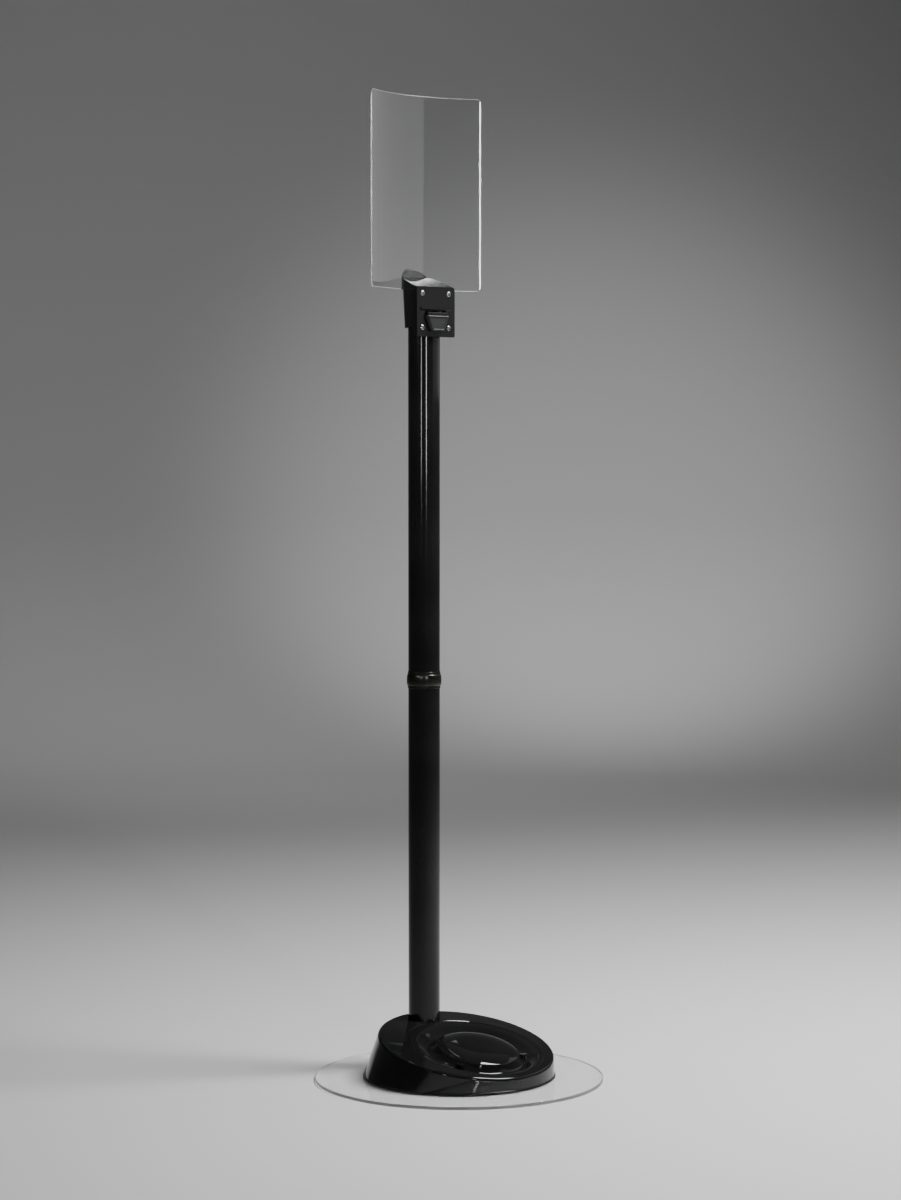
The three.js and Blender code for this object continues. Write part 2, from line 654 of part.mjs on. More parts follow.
// The clamp behind the panel: its top carries on the head's slope and is arched from side to side.
function rearJaw() {
  const half = JAW_WIDTH / 2;
  const bottom = LEDGE_Z + GAP;
  const outline = new THREE.Shape();
  outline.moveTo(-half, bottom - BEYOND_HEAD);
  outline.lineTo(half, bottom - BEYOND_HEAD);
  const steps = 16;
  for (let step = 0; step <= steps; step += 1) {
    const x = half * (1 - (2 * step) / steps);
    outline.lineTo(x, topAt(0) + JAW_ARCH * (1 - (x / half) ** 2));
  }
  outline.closePath();
  const padBack = PANEL_REAR_RADIUS + PAD_THICKNESS + 2 * GAP;
  const headSeat = JAW_RADIUS - 2 * JAW_SCREW_HEAD_HEIGHT - GAP;
  let jaw = prismAlongY(outline, 0, BEYOND_HEAD, TOP_SLOPE);
  jaw = jaw.intersect(rod(JAW_RADIUS, bottom, ABOVE_HEAD, 0, 0, 64));
  jaw = jaw.subtract(curvedSheet(PANEL_RADIUS - BEYOND_HEAD, padBack, bottom - 1, ABOVE_HEAD));
  for (const x of [-JAW_SCREW_X, JAW_SCREW_X]) {
    jaw = jaw.subtract(rodAlongY(JAW_SCREW_RADIUS + GAP, 0, BEYOND_HEAD, x, JAW_SCREW_Z));
    jaw = jaw.subtract(rodAlongY(JAW_SCREW_HEAD + GAP, headSeat, BEYOND_HEAD, x, JAW_SCREW_Z));
  }
  return jaw;
}

// A screw notch that is open at the panel's lower edge, so the panel lifts off its screws.
function screwNotch(x, clearance) {
  const half = JAW_SCREW_RADIUS + clearance;
  const round = rodAlongY(half, 0, BEYOND_HEAD, x, JAW_SCREW_Z);
  return round.add(block(x - half, x + half, 0, BEYOND_HEAD, PANEL_BOTTOM - 5, JAW_SCREW_Z));
}

function jawPad() {
  const inner = PANEL_REAR_RADIUS + GAP;
  const pad = curvedSheet(inner, inner + PAD_THICKNESS, PANEL_BOTTOM, topAt(PANEL_MIDDLE_Y) - 2);
  const width = JAW_WIDTH / 2 - 1;
  return pad.intersect(block(-width, width, 0, BEYOND_HEAD, PANEL_BOTTOM, ABOVE_HEAD))
    .subtract(screwNotch(-JAW_SCREW_X, GAP)).subtract(screwNotch(JAW_SCREW_X, GAP));
}

function signPanel() {
  const sheet = curvedSheet(PANEL_FRONT_RADIUS, PANEL_REAR_RADIUS, PANEL_BOTTOM - 1, PANEL_TOP + 1);
  const outline = roundedRectangle(PANEL_WIDTH, PANEL_BOTTOM, PANEL_TOP, PANEL_CORNER);
  return sheet.intersect(prismAlongY(outline, -BEYOND_HEAD, BEYOND_HEAD))
    .subtract(screwNotch(-JAW_SCREW_X, 2 * GAP)).subtract(screwNotch(JAW_SCREW_X, 2 * GAP));
}

// ---------------------------------------------------------------- belt cassette

const alongX = (solid) => solid.rotate([0, 90, 0]).translate([0, SPOOL_Y, SPOOL_Z]);

function beltSpool() {
  const end = SPOOL_HALF_WIDTH;
  const inside = end - SPOOL_FLANGE;
  const cup = end - 2.5;
  const bore = AXLE_RADIUS + GAP;
  return alongX(turned([
    [bore, -end], [SPOOL_FLANGE_RADIUS, -end], [SPOOL_FLANGE_RADIUS, -inside], [SPOOL_CORE_RADIUS, -inside],
    [SPOOL_CORE_RADIUS, inside], [SPOOL_FLANGE_RADIUS, inside], [SPOOL_FLANGE_RADIUS, end], [bore, end],
    [bore, cup], [SPOOL_BORE_RADIUS, cup], [SPOOL_BORE_RADIUS, -cup], [bore, -cup], [bore, -end],
  ], 32));
}

class Helix extends THREE.Curve {
  constructor(radius, length, turns) {
    super();
    Object.assign(this, { radius, length, turns });
  }

  getPoint(share, target = new THREE.Vector3()) {
    const angle = 2 * Math.PI * this.turns * share;
    const rise = this.length * (share - 0.5);
    return target.set(this.radius * Math.cos(angle), this.radius * Math.sin(angle), rise);
  }
}

// The coiled spring inside the spool's core that winds the belt back in.
function spoolSpring() {
  const wire = new THREE.Shape().absarc(0, 0, SPRING_WIRE, 0, 2 * Math.PI, false);
  const path = new Helix(SPRING_RADIUS, SPRING_LENGTH, SPRING_TURNS);
  const geometry = new THREE.ExtrudeGeometry(wire, {
    steps: SPRING_TURNS * 9, extrudePath: path, curveSegments: 3, bevelEnabled: false,
  });
  return alongX(solidFrom(geometry));
}

// The belt's end piece: a bevelled tongue that hangs from a neck in front of the slot.
function beltEnd() {
  const outlineAt = (inset, forward) => {
    const top = TONGUE_TOP - inset;
    const bottom = TONGUE_TOP - TONGUE_HEIGHT + inset;
    const halfTop = TONGUE_TOP_WIDTH / 2 - inset * 1.3;
    const halfBottom = TONGUE_BOTTOM_WIDTH / 2 - inset * 0.7;
    return [[-halfBottom, bottom], [halfBottom, bottom], [halfTop, top], [-halfTop, top]]
      .map(([x, z]) => new THREE.Vector3(x, z, forward));
  };
  const back = HEAD_FRONT + GAP;
  const front = back + TONGUE_DEPTH;
  const rings = [outlineAt(0, back), outlineAt(0, front - TONGUE_BEVEL), outlineAt(TONGUE_BEVEL, front)];
  const tongue = loft(rings).rotate([90, 0, 0]);
  const neck = rodAlongX(NECK_RADIUS, -BELT_WIDTH / 2, BELT_WIDTH / 2, NECK_Y, BELT_Z, 16);
  const web = block(-BELT_WIDTH / 2, BELT_WIDTH / 2, NECK_Y - 1, NECK_Y + 1, TONGUE_TOP - 2, BELT_Z);
  return tongue.add(neck).add(web);
}

function addCassette(head) {
  const half = BELT_WIDTH / 2;
  const axleReach = CAVITY_HALF_WIDTH + BUSH_LENGTH - GAP;
  const roll = tube(ROLL_RADIUS, SPOOL_CORE_RADIUS + GAP, -half, half, 32);
  const thin = BELT_THICKNESS / 2;
  const strip = block(-half, half, NECK_Y + NECK_RADIUS + GAP, SPOOL_Y, BELT_Z - thin, BELT_Z + thin);
  addPart(head, 'spool_axle', rodAlongX(AXLE_RADIUS, -axleReach, axleReach, SPOOL_Y, SPOOL_Z, 20), zinc);
  [-1, 1].forEach((side, index) => {
    const bush = tube(BUSH_RADIUS, AXLE_RADIUS + GAP, -BUSH_LENGTH / 2, BUSH_LENGTH / 2, 24);
    const centre = side * (CAVITY_HALF_WIDTH + BUSH_LENGTH / 2);
    addPart(head, `spool_bush_${index + 1}`, alongX(bush).translate([centre, 0, 0]), nylon);
  });
  addPart(head, 'belt_spool', beltSpool(), nylon);
  addPart(head, 'spool_spring', spoolSpring(), springSteel);
  addPart(head, 'belt_roll', alongX(roll), webbing);
  addPart(head, 'belt_strip', strip, webbing);
  addPart(head, 'belt_end', beltEnd(), satinGrey);
}

function addHead(head) {
  const boltSeat = WEB_Z + WEB_THICKNESS + GAP;
  const boltStart = -boltSeat - HEAD_BOLT_HEAD_HEIGHT;
  const boltEnd = boltStart + HEAD_BOLT_LENGTH;
  const headBolt = socketBolt(boltStart, HEAD_BOLT_HEAD_HEIGHT, boltEnd, HEAD_BOLT_RADIUS, HEAD_BOLT_HEAD);
  addPart(head, 'head_body', headBody(), glossBlack);
  addPart(head, 'head_bolt', pointingDown(headBolt), zinc);
  addPart(head, 'front_plate', frontPlate(), glossBlack);
  const plateScrews = [
    [PLATE_SCREW_HIGH_Z, PLATE_SCREW_HIGH_TIP_Y], [PLATE_SCREW_LOW_Z, PLATE_SCREW_LOW_TIP_Y],
  ].flatMap(([z, tip]) => [[-PLATE_SCREW_X, z, tip], [PLATE_SCREW_X, z, tip]]);
  plateScrews.forEach(([x, z, tip], index) => {
    const screw = countersunkScrew(GAP - HEAD_FRONT, tip, PLATE_SCREW_RADIUS, PLATE_SCREW_HEAD);
    addPart(head, `front_plate_screw_${index + 1}`, pointingBack(screw).translate([x, 0, z]), zinc);
  });
  addCassette(head);
  addPart(head, 'sign_panel', signPanel(), acrylic);
  addPart(head, 'jaw_pad', jawPad(), rubber);
  addPart(head, 'rear_jaw', rearJaw(), satinGrey);
  [-JAW_SCREW_X, JAW_SCREW_X].forEach((x, index) => {
    const low = JAW_SCREW_HEAD_HEIGHT - JAW_RADIUS;
    const tip = 5 - PANEL_MIDDLE_Y;
    const screw = socketBolt(low, JAW_SCREW_HEAD_HEIGHT, tip, JAW_SCREW_RADIUS, JAW_SCREW_HEAD);
    addPart(head, `jaw_screw_${index + 1}`, pointingForward(screw).translate([x, 0, JAW_SCREW_Z]), zinc);
  });
}

// ---------------------------------------------------------------- assembly

const stand = new THREE.Group();
const pole = new THREE.Group();
const head = new THREE.Group();
pole.position.y = POLE_Y;
pole.add(head);
stand.add(pole);
addBase(stand);
addPole(pole);
addHead(head);

export default stand;
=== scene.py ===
"""The looks of a free-standing sign stand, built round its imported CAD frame.

Metres, +Z up, the front towards -Y. Shapes are given in millimetres and scaled by MM.
"""
import json
import math

import bpy
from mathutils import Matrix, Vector


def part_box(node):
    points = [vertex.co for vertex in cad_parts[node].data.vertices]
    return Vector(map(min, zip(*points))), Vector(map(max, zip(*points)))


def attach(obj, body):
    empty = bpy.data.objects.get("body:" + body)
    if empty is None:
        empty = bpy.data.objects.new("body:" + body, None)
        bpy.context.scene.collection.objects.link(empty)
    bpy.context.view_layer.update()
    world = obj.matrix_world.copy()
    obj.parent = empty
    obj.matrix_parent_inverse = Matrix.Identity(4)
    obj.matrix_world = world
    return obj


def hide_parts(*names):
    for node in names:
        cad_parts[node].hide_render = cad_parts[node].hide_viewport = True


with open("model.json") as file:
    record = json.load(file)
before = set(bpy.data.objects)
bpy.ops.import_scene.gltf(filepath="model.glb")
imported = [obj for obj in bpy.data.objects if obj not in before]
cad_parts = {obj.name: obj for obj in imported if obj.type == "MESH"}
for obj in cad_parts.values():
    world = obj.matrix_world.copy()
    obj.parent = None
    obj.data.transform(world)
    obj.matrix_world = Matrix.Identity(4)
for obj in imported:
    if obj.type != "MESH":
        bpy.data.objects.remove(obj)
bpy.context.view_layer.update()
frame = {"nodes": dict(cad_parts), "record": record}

MM = 0.001

# ------------------------------------------------------------------ places read from the frame

RECORD = frame["record"]
SLOT_OF = {part["node"]: part["material_slot"] for part in RECORD["subparts"]}
BODY_OF = {node: body for body, nodes in RECORD["behaviour"]["bodies"].items() for node in nodes}


def low(node, axis):
    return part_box(node)[0][axis] / MM


def high(node, axis):
    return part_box(node)[1][axis] / MM


def middle(node, axis):
    return (low(node, axis) + high(node, axis)) / 2


POLE_Y = middle("lower_pole", 1)
POLE_RADIUS = (high("lower_pole", 0) - low("lower_pole", 0)) / 2
POLE_WALL = 2
JOINT_Z = middle("joint_collar", 2)
GAP = 0.3
HEAD_SCREW_HOLE = 2.3

# ------------------------------------------------------------------ shapes


def make(name, points, faces):
    """A mesh object from points in millimetres and the given faces."""
    mesh = bpy.data.meshes.new(name)
    mesh.from_pydata([Vector(point) * MM for point in points], [], faces)
    mesh.validate()
    piece = bpy.data.objects.new(name, mesh)
    bpy.context.scene.collection.objects.link(piece)
    return piece


def loft(name, rings, capped=True):
    """A skin over rings of equal length. Without caps, the last ring joins the first."""
    count = len(rings[0])
    points = [point for ring in rings for point in ring]
    faces = []
    pairs = len(rings) - 1 if capped else len(rings)
    for row in range(pairs):
        near = row * count
        far = (row + 1) % len(rings) * count
        for k in range(count):
            after = (k + 1) % count
            faces.append((near + k, near + after, far + after, far + k))
    if capped:
        faces.append(tuple(reversed(range(count))))
        last = (len(rings) - 1) * count
        faces.append(tuple(range(last, last + count)))
    return make(name, points, faces)


def circle(radius, z, x=0, y=0, segments=96):
    turns = [2 * math.pi * k / segments for k in range(segments)]
    return [(x + radius * math.cos(a), y + radius * math.sin(a), z) for a in turns]


def lathe(name, profile, x=0, y=0, segments=96):
    """A ring about an upright axis. The profile's (radius, height) pairs close on themselves."""
    return loft(name, [circle(radius, z, x, y, segments) for radius, z in profile], capped=False)


def turned(name, profile, x=0, y=0, segments=96):
    """A solid of revolution whose profile runs up its outside, with flat ends."""
    return loft(name, [circle(radius, z, x, y, segments) for radius, z in profile])


def rod(radius, start, end, segments=64):
    """A plain round bar between two points, for cutting and joining."""
    axis = Vector(end) - Vector(start)
    piece = turned("rod", [(radius, 0), (radius, axis.length)], segments=segments)
    turn = axis.to_track_quat("Z", "Y").to_matrix().to_4x4()
    piece.data.transform(turn)
    for vertex in piece.data.vertices:
        vertex.co += Vector(start) * MM
    return piece


def block(corner, opposite):
    (x0, y0, z0), (x1, y1, z1) = corner, opposite
    lower = [(x0, y0, z0), (x1, y0, z0), (x1, y1, z0), (x0, y1, z0)]
    upper = [(x, y, z1) for x, y, _ in lower]
    return loft("block", [lower, upper])


def prism_along_y(outline, front, back, slope=0.0):
    """A prism of an (x, z) outline along Y, rising by slope as it goes back."""
    rings = [[(x, y, z + slope * y) for x, z in outline] for y in (back, front)]
    return loft("prism", rings)


def settle(piece):
    """Applies the piece's modifiers to its mesh."""
    shaped = piece.evaluated_get(bpy.context.evaluated_depsgraph_get())
    mesh = bpy.data.meshes.new_from_object(shaped)
    piece.modifiers.clear()
    piece.data = mesh
    return piece


def combine(piece, other, operation):
    modifier = piece.modifiers.new("combine", "BOOLEAN")
    modifier.operation = operation
    modifier.solver = "EXACT"
    modifier.object = other
    settle(piece)
    bpy.data.objects.remove(other)
    return piece


def cut(piece, *cutters):
    for cutter in cutters:
        combine(piece, cutter, "DIFFERENCE")
    return piece


def join(piece, *others):
    for other in others:
        combine(piece, other, "UNION")
    return piece


def keep(piece, *others):
    for other in others:
        combine(piece, other, "INTERSECT")
    return piece


def smooth(piece, angle=32):
    """Smooth shading between faces that meet at less than angle, led by the larger faces."""
    for face in piece.data.polygons:
        face.use_smooth = True
    piece.data.set_sharp_from_angle(angle=math.radians(angle))
    weigh = piece.modifiers.new("weigh", "WEIGHTED_NORMAL")
    weigh.keep_sharp = True
    return settle(piece)


def soften(piece, width, steps=3, angle=32):
    """Rounds the piece's edges and keeps its flat faces flat in the light."""
    bevel = piece.modifiers.new("bevel", "BEVEL")
    bevel.width = width * MM
    bevel.segments = steps
    bevel.limit_method = "ANGLE"
    bevel.angle_limit = math.radians(angle)
    settle(piece)
    return smooth(piece, 50)


def arc(cx, cz, radius, start, end, steps):
    turns = [math.radians(start + (end - start) * k / steps) for k in range(steps + 1)]
    return [(cx + radius * math.cos(a), cz + radius * math.sin(a)) for a in turns]


def rounded_rectangle(width, bottom, top, radius, steps=10):
    half = width / 2 - radius
    return (
        arc(half, bottom + radius, radius, -90, 0, steps)
        + arc(half, top - radius, radius, 0, 90, steps)
        + arc(-half, top - radius, radius, 90, 180, steps)
        + arc(-half, bottom + radius, radius, 180, 270, steps)
    )


# ------------------------------------------------------------------ materials


class Finish:
    """A procedural material: one shader, with small patterns that vary its colour, gloss and height."""

    def __init__(self, name, **values):
        self.material = bpy.data.materials.new(name)
        self.material.use_nodes = True
        self.nodes = self.material.node_tree.nodes
        self.links = self.material.node_tree.links
        self.shader = self.nodes["Principled BSDF"]
        for socket, value in values.items():
            self.shader.inputs[socket.replace("_", " ")].default_value = value
        self.place = self.nodes.new("ShaderNodeTexCoord").outputs["Object"]

    def node(self, kind, inputs=(), **settings):
        node = self.nodes.new(kind)
        for setting, value in settings.items():
            setattr(node, setting, value)
        for socket, value in dict(inputs).items():
            if isinstance(value, bpy.types.NodeSocket):
                self.links.new(value, node.inputs[socket])
            else:
                node.inputs[socket].default_value = value
        return node

    def stretched(self, scale):
        return self.node("ShaderNodeMapping", {"Vector": self.place, "Scale": scale}).outputs["Vector"]

    def noise(self, scale, detail=3.0, stretch=(1, 1, 1)):
        inputs = {"Vector": self.stretched(stretch), "Scale": scale, "Detail": detail}
        return self.node("ShaderNodeTexNoise", inputs).outputs["Fac"]

    def wave(self, scale, direction, distortion=0.0):
        inputs = {"Vector": self.place, "Scale": scale, "Distortion": distortion}
        settings = {"wave_type": "BANDS", "bands_direction": direction}
        return self.node("ShaderNodeTexWave", inputs, **settings).outputs["Fac"]

    def range(self, value, from_low, from_high, to_low, to_high):
        inputs = {0: value, 1: from_low, 2: from_high, 3: to_low, 4: to_high}
        return self.node("ShaderNodeMapRange", inputs).outputs[0]

    def math(self, operation, first, second):
        return self.node("ShaderNodeMath", {0: first, 1: second}, operation=operation).outputs[0]

    def colours(self, pattern, dark, pale):
        ramp = self.node("ShaderNodeValToRGB", {"Fac": pattern})
        ramp.color_ramp.elements[0].position = 0.35
        ramp.color_ramp.elements[1].position = 0.65
        ramp.color_ramp.elements[0].color = (*dark, 1)
        ramp.color_ramp.elements[1].color = (*pale, 1)
        self.links.new(ramp.outputs["Color"], self.shader.inputs["Base Color"])
        return self

    def gloss(self, pattern, smoothest, roughest):
        value = self.range(pattern, 0.3, 0.7, smoothest, roughest)
        self.links.new(value, self.shader.inputs["Roughness"])
        return self

    def let_lamps_through(self, share):
        """Clear plastic throws only a pale shadow, because lamps shine through it."""
        rays = self.node("ShaderNodeLightPath").outputs["Is Shadow Ray"]
        tint = self.node("ShaderNodeBsdfTransparent", {"Color": (share, share, share, 1)}).outputs[0]
        mixed = self.node("ShaderNodeMixShader", {0: rays, 1: self.shader.outputs[0], 2: tint}).outputs[0]
        self.links.new(mixed, self.nodes["Material Output"].inputs["Surface"])
        return self

    def bump(self, pattern, strength, depth):
        """Depth is in millimetres."""
        inputs = {"Height": pattern, "Strength": strength, "Distance": depth * MM}
        bumped = self.node("ShaderNodeBump", inputs).outputs["Normal"]
        self.links.new(bumped, self.shader.inputs["Normal"])
        return self


def gloss_black():
    finish = Finish("gloss_black", Specular_IOR_Level=0.27)
    finish.colours(finish.noise(9), (0.0055, 0.0055, 0.006), (0.008, 0.008, 0.0085))
    finish.gloss(finish.noise(14, 6), 0.03, 0.06)
    return finish.bump(finish.noise(260, 1), 0.04, 0.05)


def black_paint():
    finish = Finish("black_paint", Specular_IOR_Level=0.27)
    finish.colours(finish.noise(11), (0.005, 0.005, 0.0055), (0.008, 0.008, 0.0085))
    finish.gloss(finish.noise(18, 5, (1, 1, 0.2)), 0.07, 0.11)
    return finish.bump(finish.noise(420, 2), 0.03, 0.03)


def satin_olive():
    finish = Finish("satin_olive", Specular_IOR_Level=0.3)
    finish.colours(finish.noise(160, 4), (0.0042, 0.0041, 0.003), (0.0062, 0.006, 0.0045))
    finish.gloss(finish.noise(120, 4), 0.2, 0.3)
    return finish.bump(finish.noise(1500, 2), 0.12, 0.04)


def satin_grey():
    finish = Finish("satin_grey", Specular_IOR_Level=0.28)
    finish.colours(finish.noise(220, 4), (0.012, 0.0123, 0.013), (0.017, 0.0173, 0.0182))
    finish.gloss(finish.noise(150, 4), 0.42, 0.52)
    return finish.bump(finish.noise(2600, 2), 0.2, 0.04)


def zinc_steel():
    finish = Finish("zinc_steel", Metallic=1.0)
    finish.colours(finish.noise(700, 5), (0.46, 0.47, 0.48), (0.66, 0.66, 0.65))
    finish.gloss(finish.noise(500, 5), 0.07, 0.14)
    return finish.bump(finish.noise(1800, 3), 0.15, 0.02)


# The share of a lamp's light that passes each surface of a clear sheet.
CLEAR_SHADOW = 0.66


def clear_acrylic():
    finish = Finish("clear_acrylic", Transmission_Weight=1.0, IOR=1.49)
    finish.colours(finish.noise(3), (0.955, 0.965, 0.96), (0.98, 0.985, 0.98))
    finish.gloss(finish.noise(8, 6), 0.0, 0.02)
    return finish.let_lamps_through(CLEAR_SHADOW)


def polished_edge():
    finish = Finish("polished_edge", Transmission_Weight=0.82, IOR=1.49)
    finish.colours(finish.noise(40, 3), (0.72, 0.75, 0.74), (0.82, 0.84, 0.83))
    finish.gloss(finish.noise(90, 4), 0.18, 0.3)
    finish.bump(finish.noise(900, 2), 0.08, 0.03)
    return finish.let_lamps_through(CLEAR_SHADOW)


# Edge for the clear floor disc: its grey, mostly opaque colour is painted shade for the dark line the
# disc's clear rim shows.
def disc_rim_painted_shade():
    finish = Finish("disc_rim_painted_shade", Transmission_Weight=0.25, IOR=1.49)
    finish.colours(finish.noise(30, 3), (0.2, 0.21, 0.205), (0.27, 0.28, 0.275))
    finish.gloss(finish.noise(80, 4), 0.3, 0.45)
    return finish.bump(finish.noise(700, 2), 0.08, 0.03)


def cast_iron():
    finish = Finish("cast_iron", Metallic=0.5)
    finish.colours(finish.noise(60, 6), (0.045, 0.045, 0.046), (0.085, 0.083, 0.08))
    finish.gloss(finish.noise(90, 5), 0.55, 0.75)
    return finish.bump(finish.noise(420, 5), 0.6, 0.3)


def aluminium():
    finish = Finish("aluminium", Metallic=1.0)
    finish.colours(finish.noise(120, 4), (0.52, 0.53, 0.54), (0.66, 0.66, 0.67))
    finish.gloss(finish.noise(90, 5, (1, 1, 12)), 0.28, 0.4)
    return finish.bump(finish.wave(520, "Z", 0.3), 0.25, 0.03)


def rubber():
    finish = Finish("rubber")
    finish.colours(finish.noise(200, 5), (0.014, 0.014, 0.014), (0.026, 0.026, 0.025))
    finish.gloss(finish.noise(150, 4), 0.7, 0.85)
    return finish.bump(finish.noise(1800, 3), 0.4, 0.05)


def nylon():
    finish = Finish("nylon", Subsurface_Weight=0.1)
    finish.colours(finish.noise(70, 4), (0.62, 0.6, 0.54), (0.72, 0.7, 0.64))
    finish.gloss(finish.noise(90, 4), 0.42, 0.55)
    return finish.bump(finish.noise(900, 3), 0.12, 0.04)


def spring_steel():
    finish = Finish("spring_steel", Metallic=1.0)
    finish.colours(finish.noise(300, 4), (0.2, 0.21, 0.24), (0.32, 0.33, 0.36))
    finish.gloss(finish.noise(300, 4), 0.25, 0.38)
    return finish.bump(finish.noise(1600, 3), 0.12, 0.02)


def webbing():
    """Plain weave: ribs across and along, with every other crossing raised."""
    finish = Finish("webbing", Sheen_Weight=0.08, Sheen_Roughness=0.5, Specular_IOR_Level=0.12)
    along = finish.wave(260, "Y", 0.2)
    across = finish.wave(260, "X", 0.2)
    weave = finish.math("MULTIPLY", along, across)
    # The colour follows the weave's height: paler on the raised crossings and darker in the dips between
    # them, painted shade.
    finish.colours(weave, (0.002, 0.002, 0.0024), (0.006, 0.006, 0.0068))
    finish.gloss(finish.noise(400, 4), 0.75, 0.9)
    return finish.bump(weave, 0.8, 0.15)


FINISHES = (
    gloss_black, black_paint, satin_olive, satin_grey, zinc_steel, clear_acrylic, cast_iron,
    aluminium, rubber, nylon, spring_steel, webbing,
)
MATERIALS = {finish.__name__: finish().material for finish in FINISHES}
PANEL_EDGE = polished_edge().material
DISC_RIM_PAINTED_SHADE = disc_rim_painted_shade().material


def stand_for(piece, node):
    """The fine piece takes the CAD node's place, body and finish."""
    piece.data.materials.clear()
    piece.data.materials.append(MATERIALS[SLOT_OF[node]])
    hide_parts(node)
    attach(piece, BODY_OF[node])
    return piece


def give_rim_material(piece, material, is_rim):
    """Gives the faces that is_rim picks an edge material: the look of a cut edge on the panel, painted
    shade on the disc's rim.
    """
    piece.data.materials.append(material)
    for face in piece.data.polygons:
        if is_rim(face.center / MM, face.normal):
            face.material_index = 1


# ------------------------------------------------------------------ base

DISC_RADIUS = high("floor_disc", 0)
DISC_TOP = high("floor_disc", 2)
DISC_EDGE = 0.6
DISC_SIDES = 256
SCREW_NAMES = [f"base_screw_{k}" for k in range(1, 5)]
BASE_SCREW_HOLE = 3.3
BASE_SCREW_SEAT = 6.3
BASE_SCREW_SEAT_DEPTH = 3
BOLT_HEAD_HOLE = 14

COVER_BOTTOM = low("base_cover", 2)
COVER_WALL = 3
COVER_BOSS = 7
WEIGHT_TOP = COVER_BOTTOM + 14
FOOT_RADIUS = high("base_cover", 0)
FOOT_LIP = 1.6
FOOT_LIP_BOTTOM = COVER_BOTTOM + 2.2
FOOT_EDGE = 0.5
SKIRT_RADIUS = FOOT_RADIUS - FOOT_LIP
RIM_RADIUS = 139
RIM_FILLET = 5
RIM_Y = -17.8
RIM_Z = 57.7
TOP_TILT = math.radians(12.4)
TOP_CROWN = 5
DOME_RADIUS = 64
DOME_HEIGHT = 6
DOME_FLATNESS = 6
DOME_SHIFT = -29
GROOVE_OUTER = 108.5
GROOVE_SHIFT = -20
GROOVE_DEPTH = 10
GROOVE_LEDGE = 1
GROOVE_CREASE = 0.04
GROOVE_LOWEST = 0.72
COVER_SEGMENTS = 224
OUTSIDE_STEPS = 56
INSIDE_STEPS = 24

RIM_CENTRE = Vector((0, RIM_Y, RIM_Z))
UP_SLOPE = Vector((0, math.cos(TOP_TILT), math.sin(TOP_TILT)))
TOP_NORMAL = Vector((0, -math.sin(TOP_TILT), math.cos(TOP_TILT)))


def floor_disc():
    turns = [math.radians(90 * k / 4) for k in range(5)]
    rim = DISC_RADIUS - DISC_EDGE
    lower = [(rim + DISC_EDGE * math.sin(a), DISC_EDGE - DISC_EDGE * math.cos(a)) for a in turns]
    upper = [(radius, DISC_TOP - z) for radius, z in reversed(lower)]
    disc = turned("clear_floor_disc", lower + upper, segments=DISC_SIDES)
    cut(disc, rod(BOLT_HEAD_HOLE, (0, POLE_Y, -1), (0, POLE_Y, DISC_TOP + 1)))
    for name in SCREW_NAMES:
        x, y = middle(name, 0), middle(name, 1)
        cut(disc, rod(BASE_SCREW_SEAT, (x, y, -1), (x, y, BASE_SCREW_SEAT_DEPTH)))
        cut(disc, rod(BASE_SCREW_HOLE, (x, y, -1), (x, y, DISC_TOP + 1)))
    stand_for(smooth(disc), "floor_disc")
    # The disc's rim faces take that grey: painted shade for the dark line along its clear edge.
    give_rim_material(disc, DISC_RIM_PAINTED_SHADE, lambda centre, normal: abs(normal.z) < 0.5 and centre.xy.length > rim - 1)


def dome_height(radius):
    return DOME_HEIGHT * max(0.0, 1 - (radius / DOME_RADIUS) ** DOME_FLATNESS)


def groove_depth(share):
    """Depth at a share of the way from the groove's outer circle to its inner one: a small crease
    at the outer edge, a wall that steepens downwards, and a steep rise to the dome's edge."""
    if share > GROOVE_LOWEST:
        rise = (share - GROOVE_LOWEST) / (1 - GROOVE_LOWEST)
        return (GROOVE_DEPTH + GROOVE_LEDGE) * math.cos(math.pi / 2 * rise)
    fall = (share / GROOVE_LOWEST) ** 1.5
    step = min(share / GROOVE_CREASE, 1)
    ledge = GROOVE_LEDGE * step * step * (3 - 2 * step)
    return ledge + GROOVE_DEPTH * math.sin(math.pi / 2 * fall) ** 2


def crown_height(across, along):
    return TOP_CROWN * (1 - (across**2 + along**2) / RIM_RADIUS**2)


def top_height(across, along):
    return crown_height(across, along) + dome_height(math.hypot(across, along - DOME_SHIFT))


def slanted_ring(radius, shift, height_at):
    ring = []
    for k in range(COVER_SEGMENTS):
        turn = 2 * math.pi * k / COVER_SEGMENTS
        across = radius * math.cos(turn)
        along = shift + radius * math.sin(turn)
        point = RIM_CENTRE + Vector((across, 0, 0)) + UP_SLOPE * along
        ring.append(point + TOP_NORMAL * height_at(across, along))
    return ring


def cover_rings(foot, inset, steps):
    """The cover's surface, moved inwards by inset: foot, skirt, rounded rim, crowned top, groove, dome."""
    rings = [circle(radius, z, segments=COVER_SEGMENTS) for radius, z in foot]
    fillet = RIM_FILLET - inset
    for step in range(9):
        turn = math.radians(82 - 82 * step / 8)
        radius = RIM_RADIUS - RIM_FILLET + fillet * math.sin(turn)
        drop = RIM_FILLET - fillet * math.cos(turn)
        rings.append(slanted_ring(radius, 0, lambda u, v, drop=drop: crown_height(u, v) - drop))
    crease = [GROOVE_CREASE * k / 6 for k in range(6)]
    for share in crease + [GROOVE_CREASE + (1 - GROOVE_CREASE) * k / steps for k in range(steps + 1)]:
        radius = GROOVE_OUTER + (DOME_RADIUS - GROOVE_OUTER) * share
        shift = GROOVE_SHIFT + (DOME_SHIFT - GROOVE_SHIFT) * share
        lower = groove_depth(share) + inset
        rings.append(slanted_ring(radius, shift, lambda u, v, lower=lower: top_height(u, v) - lower))
    for step in range(1, steps // 2):
        radius = DOME_RADIUS * math.sqrt(1 - 2 * step / steps)
        rings.append(slanted_ring(radius, DOME_SHIFT, lambda u, v: top_height(u, v) - inset))
    return rings


